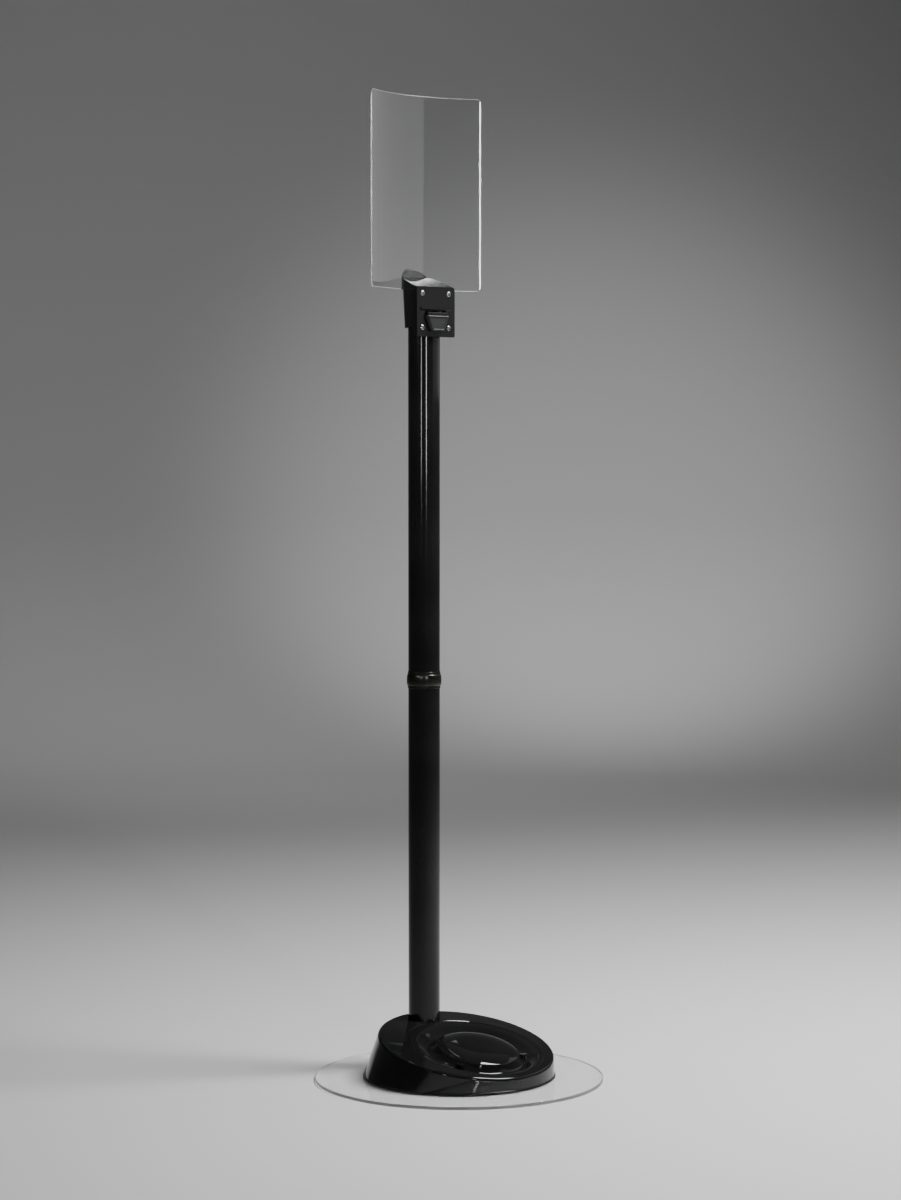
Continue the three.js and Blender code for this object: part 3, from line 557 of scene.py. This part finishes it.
def base_cover():
    foot = [(FOOT_RADIUS - FOOT_EDGE, COVER_BOTTOM), (FOOT_RADIUS, COVER_BOTTOM + FOOT_EDGE)]
    foot.append((FOOT_RADIUS, FOOT_LIP_BOTTOM))
    for degrees in (25, 45, 65, 90):
        turn = math.radians(degrees)
        radius = SKIRT_RADIUS + FOOT_LIP * math.cos(turn) ** 2
        foot.append((radius, FOOT_LIP_BOTTOM + FOOT_LIP * math.sin(turn)))
    cover = loft("slanted_cover", cover_rings(foot, 0, OUTSIDE_STEPS))
    inner_foot = [(SKIRT_RADIUS - COVER_WALL, COVER_BOTTOM - 1)]
    cut(cover, loft("inside", cover_rings(inner_foot, COVER_WALL, INSIDE_STEPS)))
    for name in SCREW_NAMES:
        x, y = middle(name, 0), middle(name, 1)
        roof = RIM_Z + math.tan(TOP_TILT) * (y - RIM_Y)
        join(cover, rod(COVER_BOSS, (x, y, WEIGHT_TOP + GAP), (x, y, roof), 32))
        cut(cover, rod(BASE_SCREW_HOLE, (x, y, 0), (x, y, high(name, 2) + GAP), 32))
    cut(cover, rod(POLE_RADIUS + GAP, (0, POLE_Y, 0), (0, POLE_Y, 200), 128))
    stand_for(smooth(cover, 40), "base_cover")


# ------------------------------------------------------------------ pole

TUBE_EDGE = 0.5
COLLAR_LIP_RADIUS = POLE_RADIUS + 0.9
COLLAR_EDGE = 0.3
COLLAR_BARREL_HALF = 9
COLLAR_FLANGE_HALF = 1.5


def pole_tube(name, node):
    inside = POLE_RADIUS - POLE_WALL
    bottom, top = low(node, 2), high(node, 2)
    edge = TUBE_EDGE
    profile = [
        (inside, bottom), (POLE_RADIUS - edge, bottom), (POLE_RADIUS, bottom + edge),
        (POLE_RADIUS, top - edge), (POLE_RADIUS - edge, top), (inside, top),
    ]
    stand_for(smooth(lathe(name, profile, y=POLE_Y, segments=128)), node)


def joint_collar():
    """A barrel-shaped ring with a thin lip above and below, and a flange inside."""
    half = (high("joint_collar", 2) - low("joint_collar", 2)) / 2
    radius = (high("joint_collar", 0) - low("joint_collar", 0)) / 2
    lip, edge, flange = COLLAR_LIP_RADIUS, COLLAR_EDGE, COLLAR_FLANGE_HALF
    bore = POLE_RADIUS + GAP
    flange_bore = POLE_RADIUS - POLE_WALL
    profile = [(bore, -half), (lip - edge, -half), (lip, edge - half)]
    for step in range(25):
        share = step / 12 - 1
        swell = (radius - lip) * math.sqrt(1 - share**2)
        profile.append((lip + swell, COLLAR_BARREL_HALF * share))
    profile += [(lip, half - edge), (lip - edge, half), (bore, half)]
    profile += [(bore, flange), (flange_bore, flange), (flange_bore, -flange), (bore, -flange)]
    profile = [(radius, JOINT_Z + z) for radius, z in profile]
    stand_for(smooth(lathe("pole_joint_collar", profile, y=POLE_Y, segments=128), 40), "joint_collar")


# ------------------------------------------------------------------ head

PLATE_FRONT = low("front_plate_screw_1", 1) - GAP
PLATE_BACK = PLATE_FRONT + 3
PLATE_CORNER = 2.5
PLATE_SCREW_SEAT = 4.1
PLATE_SCREW_SEAT_DEPTH = 1.8
PLATE_BOTTOM = low("front_plate", 2)
PLATE_TOP = high("front_plate", 2)
PLATE_WIDTH = high("front_plate", 0) - low("front_plate", 0)
BODY_FRONT = PLATE_BACK + GAP
BLOCK_BACK = PLATE_FRONT + 14.5
SOCKET_LOW = (30, 1174.5)
SOCKET_HIGH = (34.5, 1258)
BELOW_HEAD = 1100
ABOVE_HEAD = 1300
BEHIND_HEAD = POLE_Y + 60
TOP_SLOPE = 0.36
HEAD_WALL = 3
WEB_Z = high("upper_pole", 2) + HEAD_WALL + 2 * GAP
WEB_THICKNESS = 4
HEAD_BOLT_HOLE = 4.3
BUSH_SEAT = 5.3
CAVITY_HALF_WIDTH = 22.5
CAVITY_BACK = POLE_Y + 15.5
SPOOL_Y = middle("spool_axle", 1)
SPOOL_Z = middle("spool_axle", 2)
BELT_Z = middle("belt_strip", 2)
SLOT_HALF_WIDTH = 21.5
SLOT_HALF_HEIGHT = 2.5
LIP_HALF_WIDTH = 30
LIP_HALF_HEIGHT = 2.8
LIP_CHAMFER = 1.4
LIP_PROUD = 1.6
LIP_Z = BELT_Z + SLOT_HALF_HEIGHT + LIP_HALF_HEIGHT + 0.7

PANEL_RADIUS = 212
PANEL_THICKNESS = 3
PANEL_MIDDLE_Y = POLE_Y + 22.3
PANEL_CENTRE_Y = PANEL_MIDDLE_Y - PANEL_RADIUS
PANEL_FRONT_RADIUS = PANEL_RADIUS - PANEL_THICKNESS / 2
PANEL_REAR_RADIUS = PANEL_RADIUS + PANEL_THICKNESS / 2
PANEL_BOTTOM = low("sign_panel", 2)
PANEL_TOP = high("sign_panel", 2)
PANEL_WIDTH = high("sign_panel", 0) - low("sign_panel", 0)
PANEL_ARC = PANEL_RADIUS * math.asin(PANEL_WIDTH / 2 / PANEL_REAR_RADIUS)
PANEL_CORNER = 8
PANEL_EDGE_RADIUS = 0.7
PANEL_SLOT = 2.6
LEDGE_Z = PANEL_BOTTOM - GAP

JAW_RADIUS = 37
JAW_ARCH = 9
JAW_SCREW_SEAT = 4.1
JAW_SCREW_SEAT_DEPTH = 6.3
JAW_SCREWS = ("jaw_screw_1", "jaw_screw_2")
PLATE_SCREWS = [f"front_plate_screw_{k}" for k in range(1, 5)]


def top_at(y):
    return PLATE_TOP + TOP_SLOPE * (y - PLATE_FRONT)


def under_top(depth):
    """Everything below the head's slanted top, lowered by depth."""
    level = top_at(0) - depth
    outline = [(-60, 1000), (60, 1000), (60, level), (-60, level)]
    return prism_along_y(outline, POLE_Y - 60, BEHIND_HEAD, TOP_SLOPE)


def head_outline(radius, z):
    """A square front block that narrows to a round socket behind."""
    half = PLATE_WIDTH / 2
    depth = POLE_Y - BLOCK_BACK
    start = math.atan2(half, depth) + math.acos(radius / math.hypot(half, depth))
    steps = 72
    points = [(-half, BODY_FRONT, z), (half, BODY_FRONT, z), (half, BLOCK_BACK, z)]
    for step in range(steps + 1):
        turn = start + 2 * (math.pi - start) * step / steps
        points.append((radius * math.sin(turn), POLE_Y - radius * math.cos(turn), z))
    return points + [(-half, BLOCK_BACK, z)]


def curved_sheet(inner, outer, bottom, top, steps=96):
    """An upright arc of sheet between two radii about the panel's centre of curvature."""
    reach = 36
    outline = arc(0, PANEL_CENTRE_Y, outer, 90 - reach, 90 + reach, steps)
    outline += arc(0, PANEL_CENTRE_Y, inner, 90 + reach, 90 - reach, steps)
    return loft("sheet", [[(x, y, z) for x, y in outline] for z in (bottom, top)])


def head_body():
    half = PLATE_WIDTH / 2
    rings = [head_outline(*SOCKET_LOW), head_outline(*SOCKET_HIGH)]
    body = loft("stand_head", rings)
    join(body, block((-half, BODY_FRONT, PLATE_BOTTOM), (half, BLOCK_BACK, SOCKET_HIGH[1])))
    keep(body, under_top(0))
    cut(body, curved_sheet(PANEL_FRONT_RADIUS - GAP, PANEL_RADIUS + 30, LEDGE_Z, SOCKET_HIGH[1] + 20))
    cut(body, rod(POLE_RADIUS + GAP, (0, POLE_Y, PLATE_BOTTOM - 1), (0, POLE_Y, WEB_Z), 96))
    floor_z = WEB_Z + WEB_THICKNESS
    cut(body, rod(HEAD_BOLT_HOLE, (0, POLE_Y, WEB_Z - 1), (0, POLE_Y, floor_z + 1), 32))
    wide = CAVITY_HALF_WIDTH
    cavity = block((-wide, BODY_FRONT - 1, floor_z), (wide, CAVITY_BACK, ABOVE_HEAD))
    cut(body, keep(cavity, under_top(HEAD_WALL)))
    reach = high("spool_bush_2", 0) + GAP
    cut(body, rod(BUSH_SEAT, (-reach, SPOOL_Y, SPOOL_Z), (reach, SPOOL_Y, SPOOL_Z), 48))
    cut(body, block((-reach, BODY_FRONT - 1, SPOOL_Z - BUSH_SEAT), (reach, SPOOL_Y, SPOOL_Z + BUSH_SEAT)))
    for name in PLATE_SCREWS:
        x, z = middle(name, 0), middle(name, 2)
        cut(body, rod(HEAD_SCREW_HOLE, (x, BODY_FRONT - 1, z), (x, high(name, 1) + GAP, z), 24))
    for name in JAW_SCREWS:
        x, z = middle(name, 0), middle(name, 2)
        cut(body, rod(HEAD_SCREW_HOLE, (x, CAVITY_BACK - 1, z), (x, POLE_Y + JAW_RADIUS, z), 24))
    stand_for(soften(body, 0.9), "head_body")


def belt_lip():
    """A flat-topped ridge with chamfered edges over the belt slot."""
    base, flat = LIP_HALF_HEIGHT, LIP_HALF_HEIGHT - LIP_CHAMFER
    inside, front = PLATE_FRONT + 1, PLATE_FRONT - LIP_PROUD
    section = [(inside, -base), (PLATE_FRONT, -base), (front, -flat)]
    section += [(front, flat), (PLATE_FRONT, base), (inside, base)]
    ends = (LIP_HALF_WIDTH, -LIP_HALF_WIDTH)
    return loft("lip", [[(x, y, LIP_Z + z) for y, z in section] for x in ends])


def front_plate():
    """The plate that closes the cassette, with a belt slot and a lip over it."""
    outline = rounded_rectangle(PLATE_WIDTH, PLATE_BOTTOM, PLATE_TOP, PLATE_CORNER)
    plate = prism_along_y(outline, PLATE_FRONT, PLATE_BACK)
    join(plate, belt_lip())
    wide, tall = SLOT_HALF_WIDTH, SLOT_HALF_HEIGHT
    cut(plate, block((-wide, PLATE_FRONT - 9, BELT_Z - tall), (wide, PLATE_BACK + 9, BELT_Z + tall)))
    for name in PLATE_SCREWS:
        x, z = middle(name, 0), middle(name, 2)
        seat_end = PLATE_FRONT + PLATE_SCREW_SEAT_DEPTH
        cut(plate, rod(PLATE_SCREW_SEAT, (x, PLATE_FRONT - 5, z), (x, seat_end, z), 48))
        cut(plate, rod(HEAD_SCREW_HOLE, (x, PLATE_FRONT - 5, z), (x, PLATE_BACK + 5, z), 32))
    stand_for(soften(plate, 0.7), "front_plate")


def cross_screw(name, node, head_radius, shank_radius):
    """A countersunk screw with a slightly raised head and a cross recess, facing the front."""
    front, back = low(node, 1), high(node, 1)
    x, z = middle(node, 0), middle(node, 2)
    length = back - front
    dome, rim, tip = 0.8, 0.3, 0.5
    turns = [math.radians(a) for a in range(6, 91, 12)]
    profile = [(head_radius * math.sin(a), -dome * math.cos(a)) for a in turns]
    profile += [(head_radius, rim), (shank_radius, rim + head_radius - shank_radius)]
    profile += [(shank_radius, length - tip), (shank_radius - tip, length)]
    screw = turned(name, profile, segments=48)
    arm, half, floor = head_radius * 0.72, 0.7, 1.3
    cut(screw, block((-arm, -half, -3), (arm, half, floor)), block((-half, -arm, -3), (half, arm, floor)))
    for vertex in screw.data.vertices:
        along = vertex.co.z
        vertex.co = Vector((x * MM + vertex.co.x, front * MM + along, z * MM - vertex.co.y))
    stand_for(soften(screw, 0.12, 2, 40), node)


TONGUE_HEIGHT = 25
TONGUE_HALF_TOP = 22
TONGUE_HALF_BOTTOM = 12.5
TONGUE_CORNER = 2.2
NECK_Y = high("belt_end", 1) - 2.6
FOLD_RADIUS = 2
FOLD_HALF_WIDTH = 19.6


def trapezoid(inset, y):
    """The belt end's outline with round corners, drawn in by inset."""
    bottom = low("belt_end", 2)
    top = bottom + TONGUE_HEIGHT
    radius = max(TONGUE_CORNER - inset * 0.5, 0.4)
    narrow = TONGUE_HALF_BOTTOM - inset * 0.7
    wide = TONGUE_HALF_TOP - inset * 1.3
    corners = [
        Vector((-narrow, bottom + inset)), Vector((narrow, bottom + inset)),
        Vector((wide, top - inset)), Vector((-wide, top - inset)),
    ]
    points = []
    for k, corner in enumerate(corners):
        before = (corners[k - 1] - corner).normalized() * radius
        after = (corners[(k + 1) % 4] - corner).normalized() * radius
        for step in range(7):
            share = step / 6
            near = corner + before * (1 - share)
            far = corner + after * share
            points.append(near.lerp(far, share))
    return [(point.x, y, point.y) for point in points]


def belt_end():
    """The tongue at the belt's end, with a raised rounded rim round a sunk face."""
    back = high("belt_end", 1)
    front = low("belt_end", 1)
    rings = [trapezoid(0.5, back), trapezoid(0.1, back - 0.4), trapezoid(0, back - 1)]
    rings += [trapezoid(0, front + 3.4), trapezoid(0.5, front + 1.9), trapezoid(1.1, front + 0.8)]
    rim, sunk = 1.2, 1.1
    for angle in range(40, 181, 20):
        turn = math.radians(angle)
        rings.append(trapezoid(2.4 - rim * math.cos(turn), front + rim - rim * math.sin(turn)))
    rings += [trapezoid(3.9, front + sunk), trapezoid(4.8, front + sunk)]
    tongue = loft("belt_end_piece", rings)
    stand_for(smooth(tongue, 45), "belt_end")


def belt_fold():
    """The webbing's end, folded down over the neck and into the back of the belt's end piece."""
    turns = [math.radians(a) for a in range(90, 181, 10)]
    radius, clear_of_strip, drop = FOLD_RADIUS, 0.25, 8
    middle_line = [(NECK_Y + radius - clear_of_strip, BELT_Z)]
    middle_line += [(NECK_Y + radius * math.cos(a), BELT_Z + radius * (math.sin(a) - 1)) for a in turns]
    middle_line.append((NECK_Y - radius, BELT_Z - drop))
    rings = []
    for half in (-FOLD_HALF_WIDTH, FOLD_HALF_WIDTH):
        outer = [(half, y - 0.15, z + 0.3) for y, z in middle_line]
        inner = [(half, y + 0.45, z - 0.3) for y, z in reversed(middle_line)]
        rings.append(outer + inner)
    fold = loft("belt_fold", rings)
    fold.data.materials.append(MATERIALS["webbing"])
    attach(fold, BODY_OF["belt_end"])
    smooth(fold, 60)


def belt_strip():
    """A short run of webbing, with its two selvedges a little thicker than its middle."""
    x0, x1 = low("belt_strip", 0), high("belt_strip", 0)
    y0, y1 = low("belt_strip", 1), high("belt_strip", 1)
    half = (high("belt_strip", 2) - low("belt_strip", 2)) / 2
    across = 40
    top = []
    for k in range(across + 1):
        share = 2 * k / across - 1
        thick = half * (0.8 + 0.2 * abs(share) ** 6) * math.sqrt(max(1 - share**24, 0.04))
        top.append(((x0 + x1) / 2 + (x1 - x0) / 2 * share, thick))
    outline = [(x, BELT_Z - t) for x, t in top] + [(x, BELT_Z + t) for x, t in reversed(top)]
    strip = prism_along_y(outline, y0, y1)
    strip.name = "belt_webbing"
    stand_for(smooth(strip, 60), "belt_strip")


def rear_jaw():
    """The clamp behind the panel: its top is arched from side to side and carries on the slope."""
    half = (high("rear_jaw", 0) - low("rear_jaw", 0)) / 2
    steps = 48
    outline = [(-half, 1000), (half, 1000)]
    for step in range(steps + 1):
        share = 1 - 2 * step / steps
        outline.append((half * share, top_at(0) + JAW_ARCH * (1 - share**2)))
    jaw = prism_along_y(outline, POLE_Y, BEHIND_HEAD, TOP_SLOPE)
    jaw.name = "panel_jaw"
    keep(jaw, rod(JAW_RADIUS, (0, POLE_Y, PANEL_BOTTOM), (0, POLE_Y, 1320), 192))
    pad_space = PANEL_REAR_RADIUS + 1 + 2 * GAP
    cut(jaw, curved_sheet(PANEL_RADIUS - 60, pad_space, BELOW_HEAD, ABOVE_HEAD + 100))
    for name in JAW_SCREWS:
        x, z = middle(name, 0), middle(name, 2)
        seat_y = POLE_Y + JAW_RADIUS - JAW_SCREW_SEAT_DEPTH
        cut(jaw, rod(HEAD_SCREW_HOLE, (x, POLE_Y, z), (x, BEHIND_HEAD, z), 24))
        cut(jaw, rod(JAW_SCREW_SEAT, (x, seat_y, z), (x, BEHIND_HEAD, z), 32))
    stand_for(soften(jaw, 0.8), "rear_jaw")


def panel_ring(along, inset):
    """A section of the curved panel: along is the distance from its middle, round the curve."""
    corner, steps = PANEL_CORNER, 4
    turn = math.pi / 2 - along / PANEL_RADIUS
    past = max(0.0, abs(along) - (PANEL_ARC - corner))
    drop = corner - math.sqrt(max(corner**2 - past**2, 0)) + inset
    half = PANEL_THICKNESS / 2 - inset
    bottom, top = PANEL_BOTTOM + drop, PANEL_TOP - drop
    edge = min(PANEL_EDGE_RADIUS, half)
    section = arc(half - edge, bottom + edge, edge, -90, 0, steps)
    section += arc(half - edge, top - edge, edge, 0, 90, steps)
    section += arc(edge - half, top - edge, edge, 90, 180, steps)
    section += arc(edge - half, bottom + edge, edge, 180, 270, steps)
    ring = []
    for offset, z in section:
        radius = PANEL_RADIUS + offset
        ring.append((radius * math.cos(turn), PANEL_CENTRE_Y + radius * math.sin(turn), z))
    return ring


def sign_panel():
    """The clear sheet, curved about an upright axis, with round corners and rounded edges."""
    corner, edge = PANEL_CORNER, PANEL_EDGE_RADIUS
    flat = PANEL_ARC - corner
    half = [(flat * k / 36, 0) for k in range(1, 37)]
    for angle in range(9, 73, 9):
        half.append((flat + corner * math.sin(math.radians(angle)), 0))
    for angle in range(0, 91, 15):
        turn = math.radians(angle)
        half.append((PANEL_ARC - edge + edge * math.sin(turn), edge - edge * math.cos(turn)))
    stations = [(-along, inset) for along, inset in reversed(half)] + [(0, 0)] + half
    sheet = loft("clear_sign_panel", [panel_ring(along, inset) for along, inset in stations])
    for name in JAW_SCREWS:
        x, z = middle(name, 0), middle(name, 2)
        cut(sheet, rod(PANEL_SLOT, (x, POLE_Y, z), (x, BEHIND_HEAD, z), 32))
        lowest, widest = (x - PANEL_SLOT, POLE_Y, PANEL_BOTTOM - 5), (x + PANEL_SLOT, BEHIND_HEAD, z)
        cut(sheet, block(lowest, widest))
    stand_for(smooth(sheet, 40), "sign_panel")

    def is_rim(centre, normal):
        radial = Vector((centre.x, centre.y - PANEL_CENTRE_Y, 0)).normalized()
        return abs(normal.dot(radial)) < 0.9

    give_rim_material(sheet, PANEL_EDGE, is_rim)


# ------------------------------------------------------------------ stage, light and camera

CAMERA_AZIMUTH = math.radians(-38.7)
CAMERA_DISTANCE = 4.398
CAMERA_ASIDE = -0.0136
CAMERA_HEIGHT = 0.9412
CAMERA_PITCH = math.radians(2.49)
CAMERA_LENS = 84.95
SENSOR = 36

AWAY = Vector((-math.sin(CAMERA_AZIMUTH), math.cos(CAMERA_AZIMUTH), 0))
ASIDE = Vector((math.cos(CAMERA_AZIMUTH), math.sin(CAMERA_AZIMUTH), 0))


def seen(aside, away, height):
    """A place given as the camera sees it: to its right, away from it beyond the origin, and up."""
    return ASIDE * aside + AWAY * away + Vector((0, 0, height))


def camera():
    data = bpy.data.cameras.new("camera")
    data.lens = CAMERA_LENS
    data.sensor_width = SENSOR
    piece = bpy.data.objects.new("camera", data)
    bpy.context.scene.collection.objects.link(piece)
    piece.location = seen(CAMERA_ASIDE, -CAMERA_DISTANCE, CAMERA_HEIGHT)
    piece.rotation_euler = (math.pi / 2 - CAMERA_PITCH, 0, CAMERA_AZIMUTH)
    bpy.context.scene.camera = piece


FLOOR_RADIUS = 4500
BEND_RADIUS = 2600
WALL_TOP = 5200
BELOW_DISC = 0.4
SHADE_REACH = 12
# Distance out from the middle plus height, in metres, and the grey there: painted shade that stands in for
# the lamps' light falling off.
PAINTED_FALLOFF_SHADES = (
    (0, 0.62), (1.2, 0.60), (2.2, 0.54), (3.0, 0.52), (4.0, 0.48), (5.6, 0.44), (7.2, 0.3), (12, 0.2),
)


def backdrop():
    """A pale round floor that curves up into a wall on all sides, its colour darkening outwards and
    upwards: painted shade for the lamps' falloff.
    """
    flat, bend, top = FLOOR_RADIUS, BEND_RADIUS, WALL_TOP
    count = 160
    profile = [(flat * k / 6, 0) for k in range(1, 7)]
    for k in range(1, 17):
        turn = math.pi / 32 * k
        profile.append((flat + bend * math.sin(turn), bend - bend * math.cos(turn)))
    profile.append((flat + bend, top))
    rings = [circle(radius, z - BELOW_DISC, segments=count) for radius, z in profile]
    points = [point for ring in rings for point in ring]
    faces = [tuple(range(count))]
    for row in range(len(rings) - 1):
        near = row * count
        for k in range(count):
            after = (k + 1) % count
            faces.append((near + k, near + after, near + count + after, near + count + k))
    sweep = smooth(make("sweep", points, faces), 60)
    finish = Finish("floor_painted_falloff", Roughness=0.75)
    place = finish.node("ShaderNodeSeparateXYZ", {0: finish.place})
    flat_place = finish.node("ShaderNodeCombineXYZ", {0: place.outputs[0], 1: place.outputs[1]}).outputs[0]
    radius = finish.node("ShaderNodeVectorMath", {0: flat_place}, operation="LENGTH").outputs["Value"]
    travel = finish.math("ADD", radius, place.outputs["Z"])
    grain = finish.math("MULTIPLY", finish.noise(40, 4), 0.05)
    # The grey follows the distance out and up, with a little random grain: a painted falloff of the light.
    share = finish.range(finish.math("ADD", travel, grain), 0, SHADE_REACH, 0, 1)
    ramp = finish.node("ShaderNodeValToRGB", {"Fac": share})
    ramp.color_ramp.interpolation = "B_SPLINE"
    stops = ramp.color_ramp.elements
    stops[0].position, stops[1].position = 0, 1
    for metres, _ in PAINTED_FALLOFF_SHADES[1:-1]:
        stops.new(metres / SHADE_REACH)
    for stop, (_, shade) in zip(stops, PAINTED_FALLOFF_SHADES):
        stop.color = (shade, shade, shade, 1)
    finish.links.new(ramp.outputs["Color"], finish.shader.inputs["Base Color"])
    sweep.data.materials.append(finish.material)


def area_light(name, place, target, width, height, power, spread=180):
    data = bpy.data.lights.new(name, "AREA")
    data.shape = "RECTANGLE"
    data.size = width
    data.size_y = height
    data.energy = power
    data.spread = math.radians(spread)
    lamp = bpy.data.objects.new(name, data)
    bpy.context.scene.collection.objects.link(lamp)
    lamp.location = place
    lamp.rotation_euler = (target - place).to_track_quat("-Z", "Y").to_euler()
    lamp.visible_camera = False
    return lamp


def spot_light(name, place, target, angle, power):
    data = bpy.data.lights.new(name, "SPOT")
    data.energy = power
    data.spot_size = math.radians(angle)
    data.spot_blend = 1
    data.shadow_soft_size = 0.3
    lamp = bpy.data.objects.new(name, data)
    bpy.context.scene.collection.objects.link(lamp)
    lamp.location = place
    lamp.rotation_euler = (target - place).to_track_quat("-Z", "Y").to_euler()
    lamp.visible_camera = False


def overhead_light(name, aside, away, height, width, depth, power):
    place = seen(aside, away, height)
    lamp = area_light(name, place, place - Vector((0, 0, 1)), width, depth, power)
    lamp.rotation_euler = (0, 0, CAMERA_AZIMUTH)


WORLD_STRENGTH = 0.1
WORLD_COLOUR = (0.97, 0.98, 1, 1)
HEAD_PLACE = (-0.05, 0.07, 1.25)
POLE_PLACE = (0, 0, 1.4)


def lights():
    """Lights are placed with seen(): aside, away and height, in metres. Power is in watts."""
    world = bpy.data.worlds.new("studio")
    world.use_nodes = True
    ambient = world.node_tree.nodes["Background"]
    ambient.inputs["Color"].default_value = WORLD_COLOUR
    ambient.inputs["Strength"].default_value = WORLD_STRENGTH
    bpy.context.scene.world = world
    head, pole = seen(*HEAD_PLACE), seen(*POLE_PLACE)
    overhead_light("key_softbox", aside=1.3, away=0, height=2.5, width=1.3, depth=0.72, power=150)
    overhead_light("left_softbox", aside=-1, away=0.25, height=2.5, width=0.15, depth=0.3, power=1.6)
    back_light = area_light(
        "grid_light", seen(0.063, 3.5, 2.744), head, width=0.9, height=0.5, power=0.13, spread=20
    )
    back_light.rotation_euler.rotate_axis("Z", math.radians(34))
    right = seen(2.265, 0.705, 1.82)
    area_light("right_reflector", right, seen(0.355, 0.111, 1.82), width=3.68, height=1.36, power=9)
    left = seen(-2.23, -2.57, 1.87)
    area_light("left_reflector", left, pole, width=0.9, height=0.6, power=3, spread=40)
    for aside, power in ((-1.14, 2.2), (0.98, 4)):
        strip = seen(aside, -3.2, 1.6)
        area_light("strip_light", strip, pole, width=0.2, height=1.3, power=power, spread=60)
    spot_light("wall_fill", seen(-0.9, 1, 4.2), seen(-0.9, 7, 1.1), angle=75, power=500)
    spot_light("wall_pool", seen(0.6, 2.2, 1.6), seen(0.5, 7, 0.62), angle=44, power=500)


camera()
backdrop()
lights()

floor_disc()
base_cover()
pole_tube("lower_pole_tube", "lower_pole")
pole_tube("upper_pole_tube", "upper_pole")
joint_collar()
head_body()
front_plate()
for number, node in enumerate(PLATE_SCREWS, 1):
    cross_screw(f"plate_screw_{number}", node, head_radius=3.8, shank_radius=2)
belt_end()
belt_fold()
belt_strip()
rear_jaw()
sign_panel()

for node, piece in frame["nodes"].items():
    if not piece.hide_render:
        piece.data.materials.clear()
        piece.data.materials.append(MATERIALS[SLOT_OF[node]])
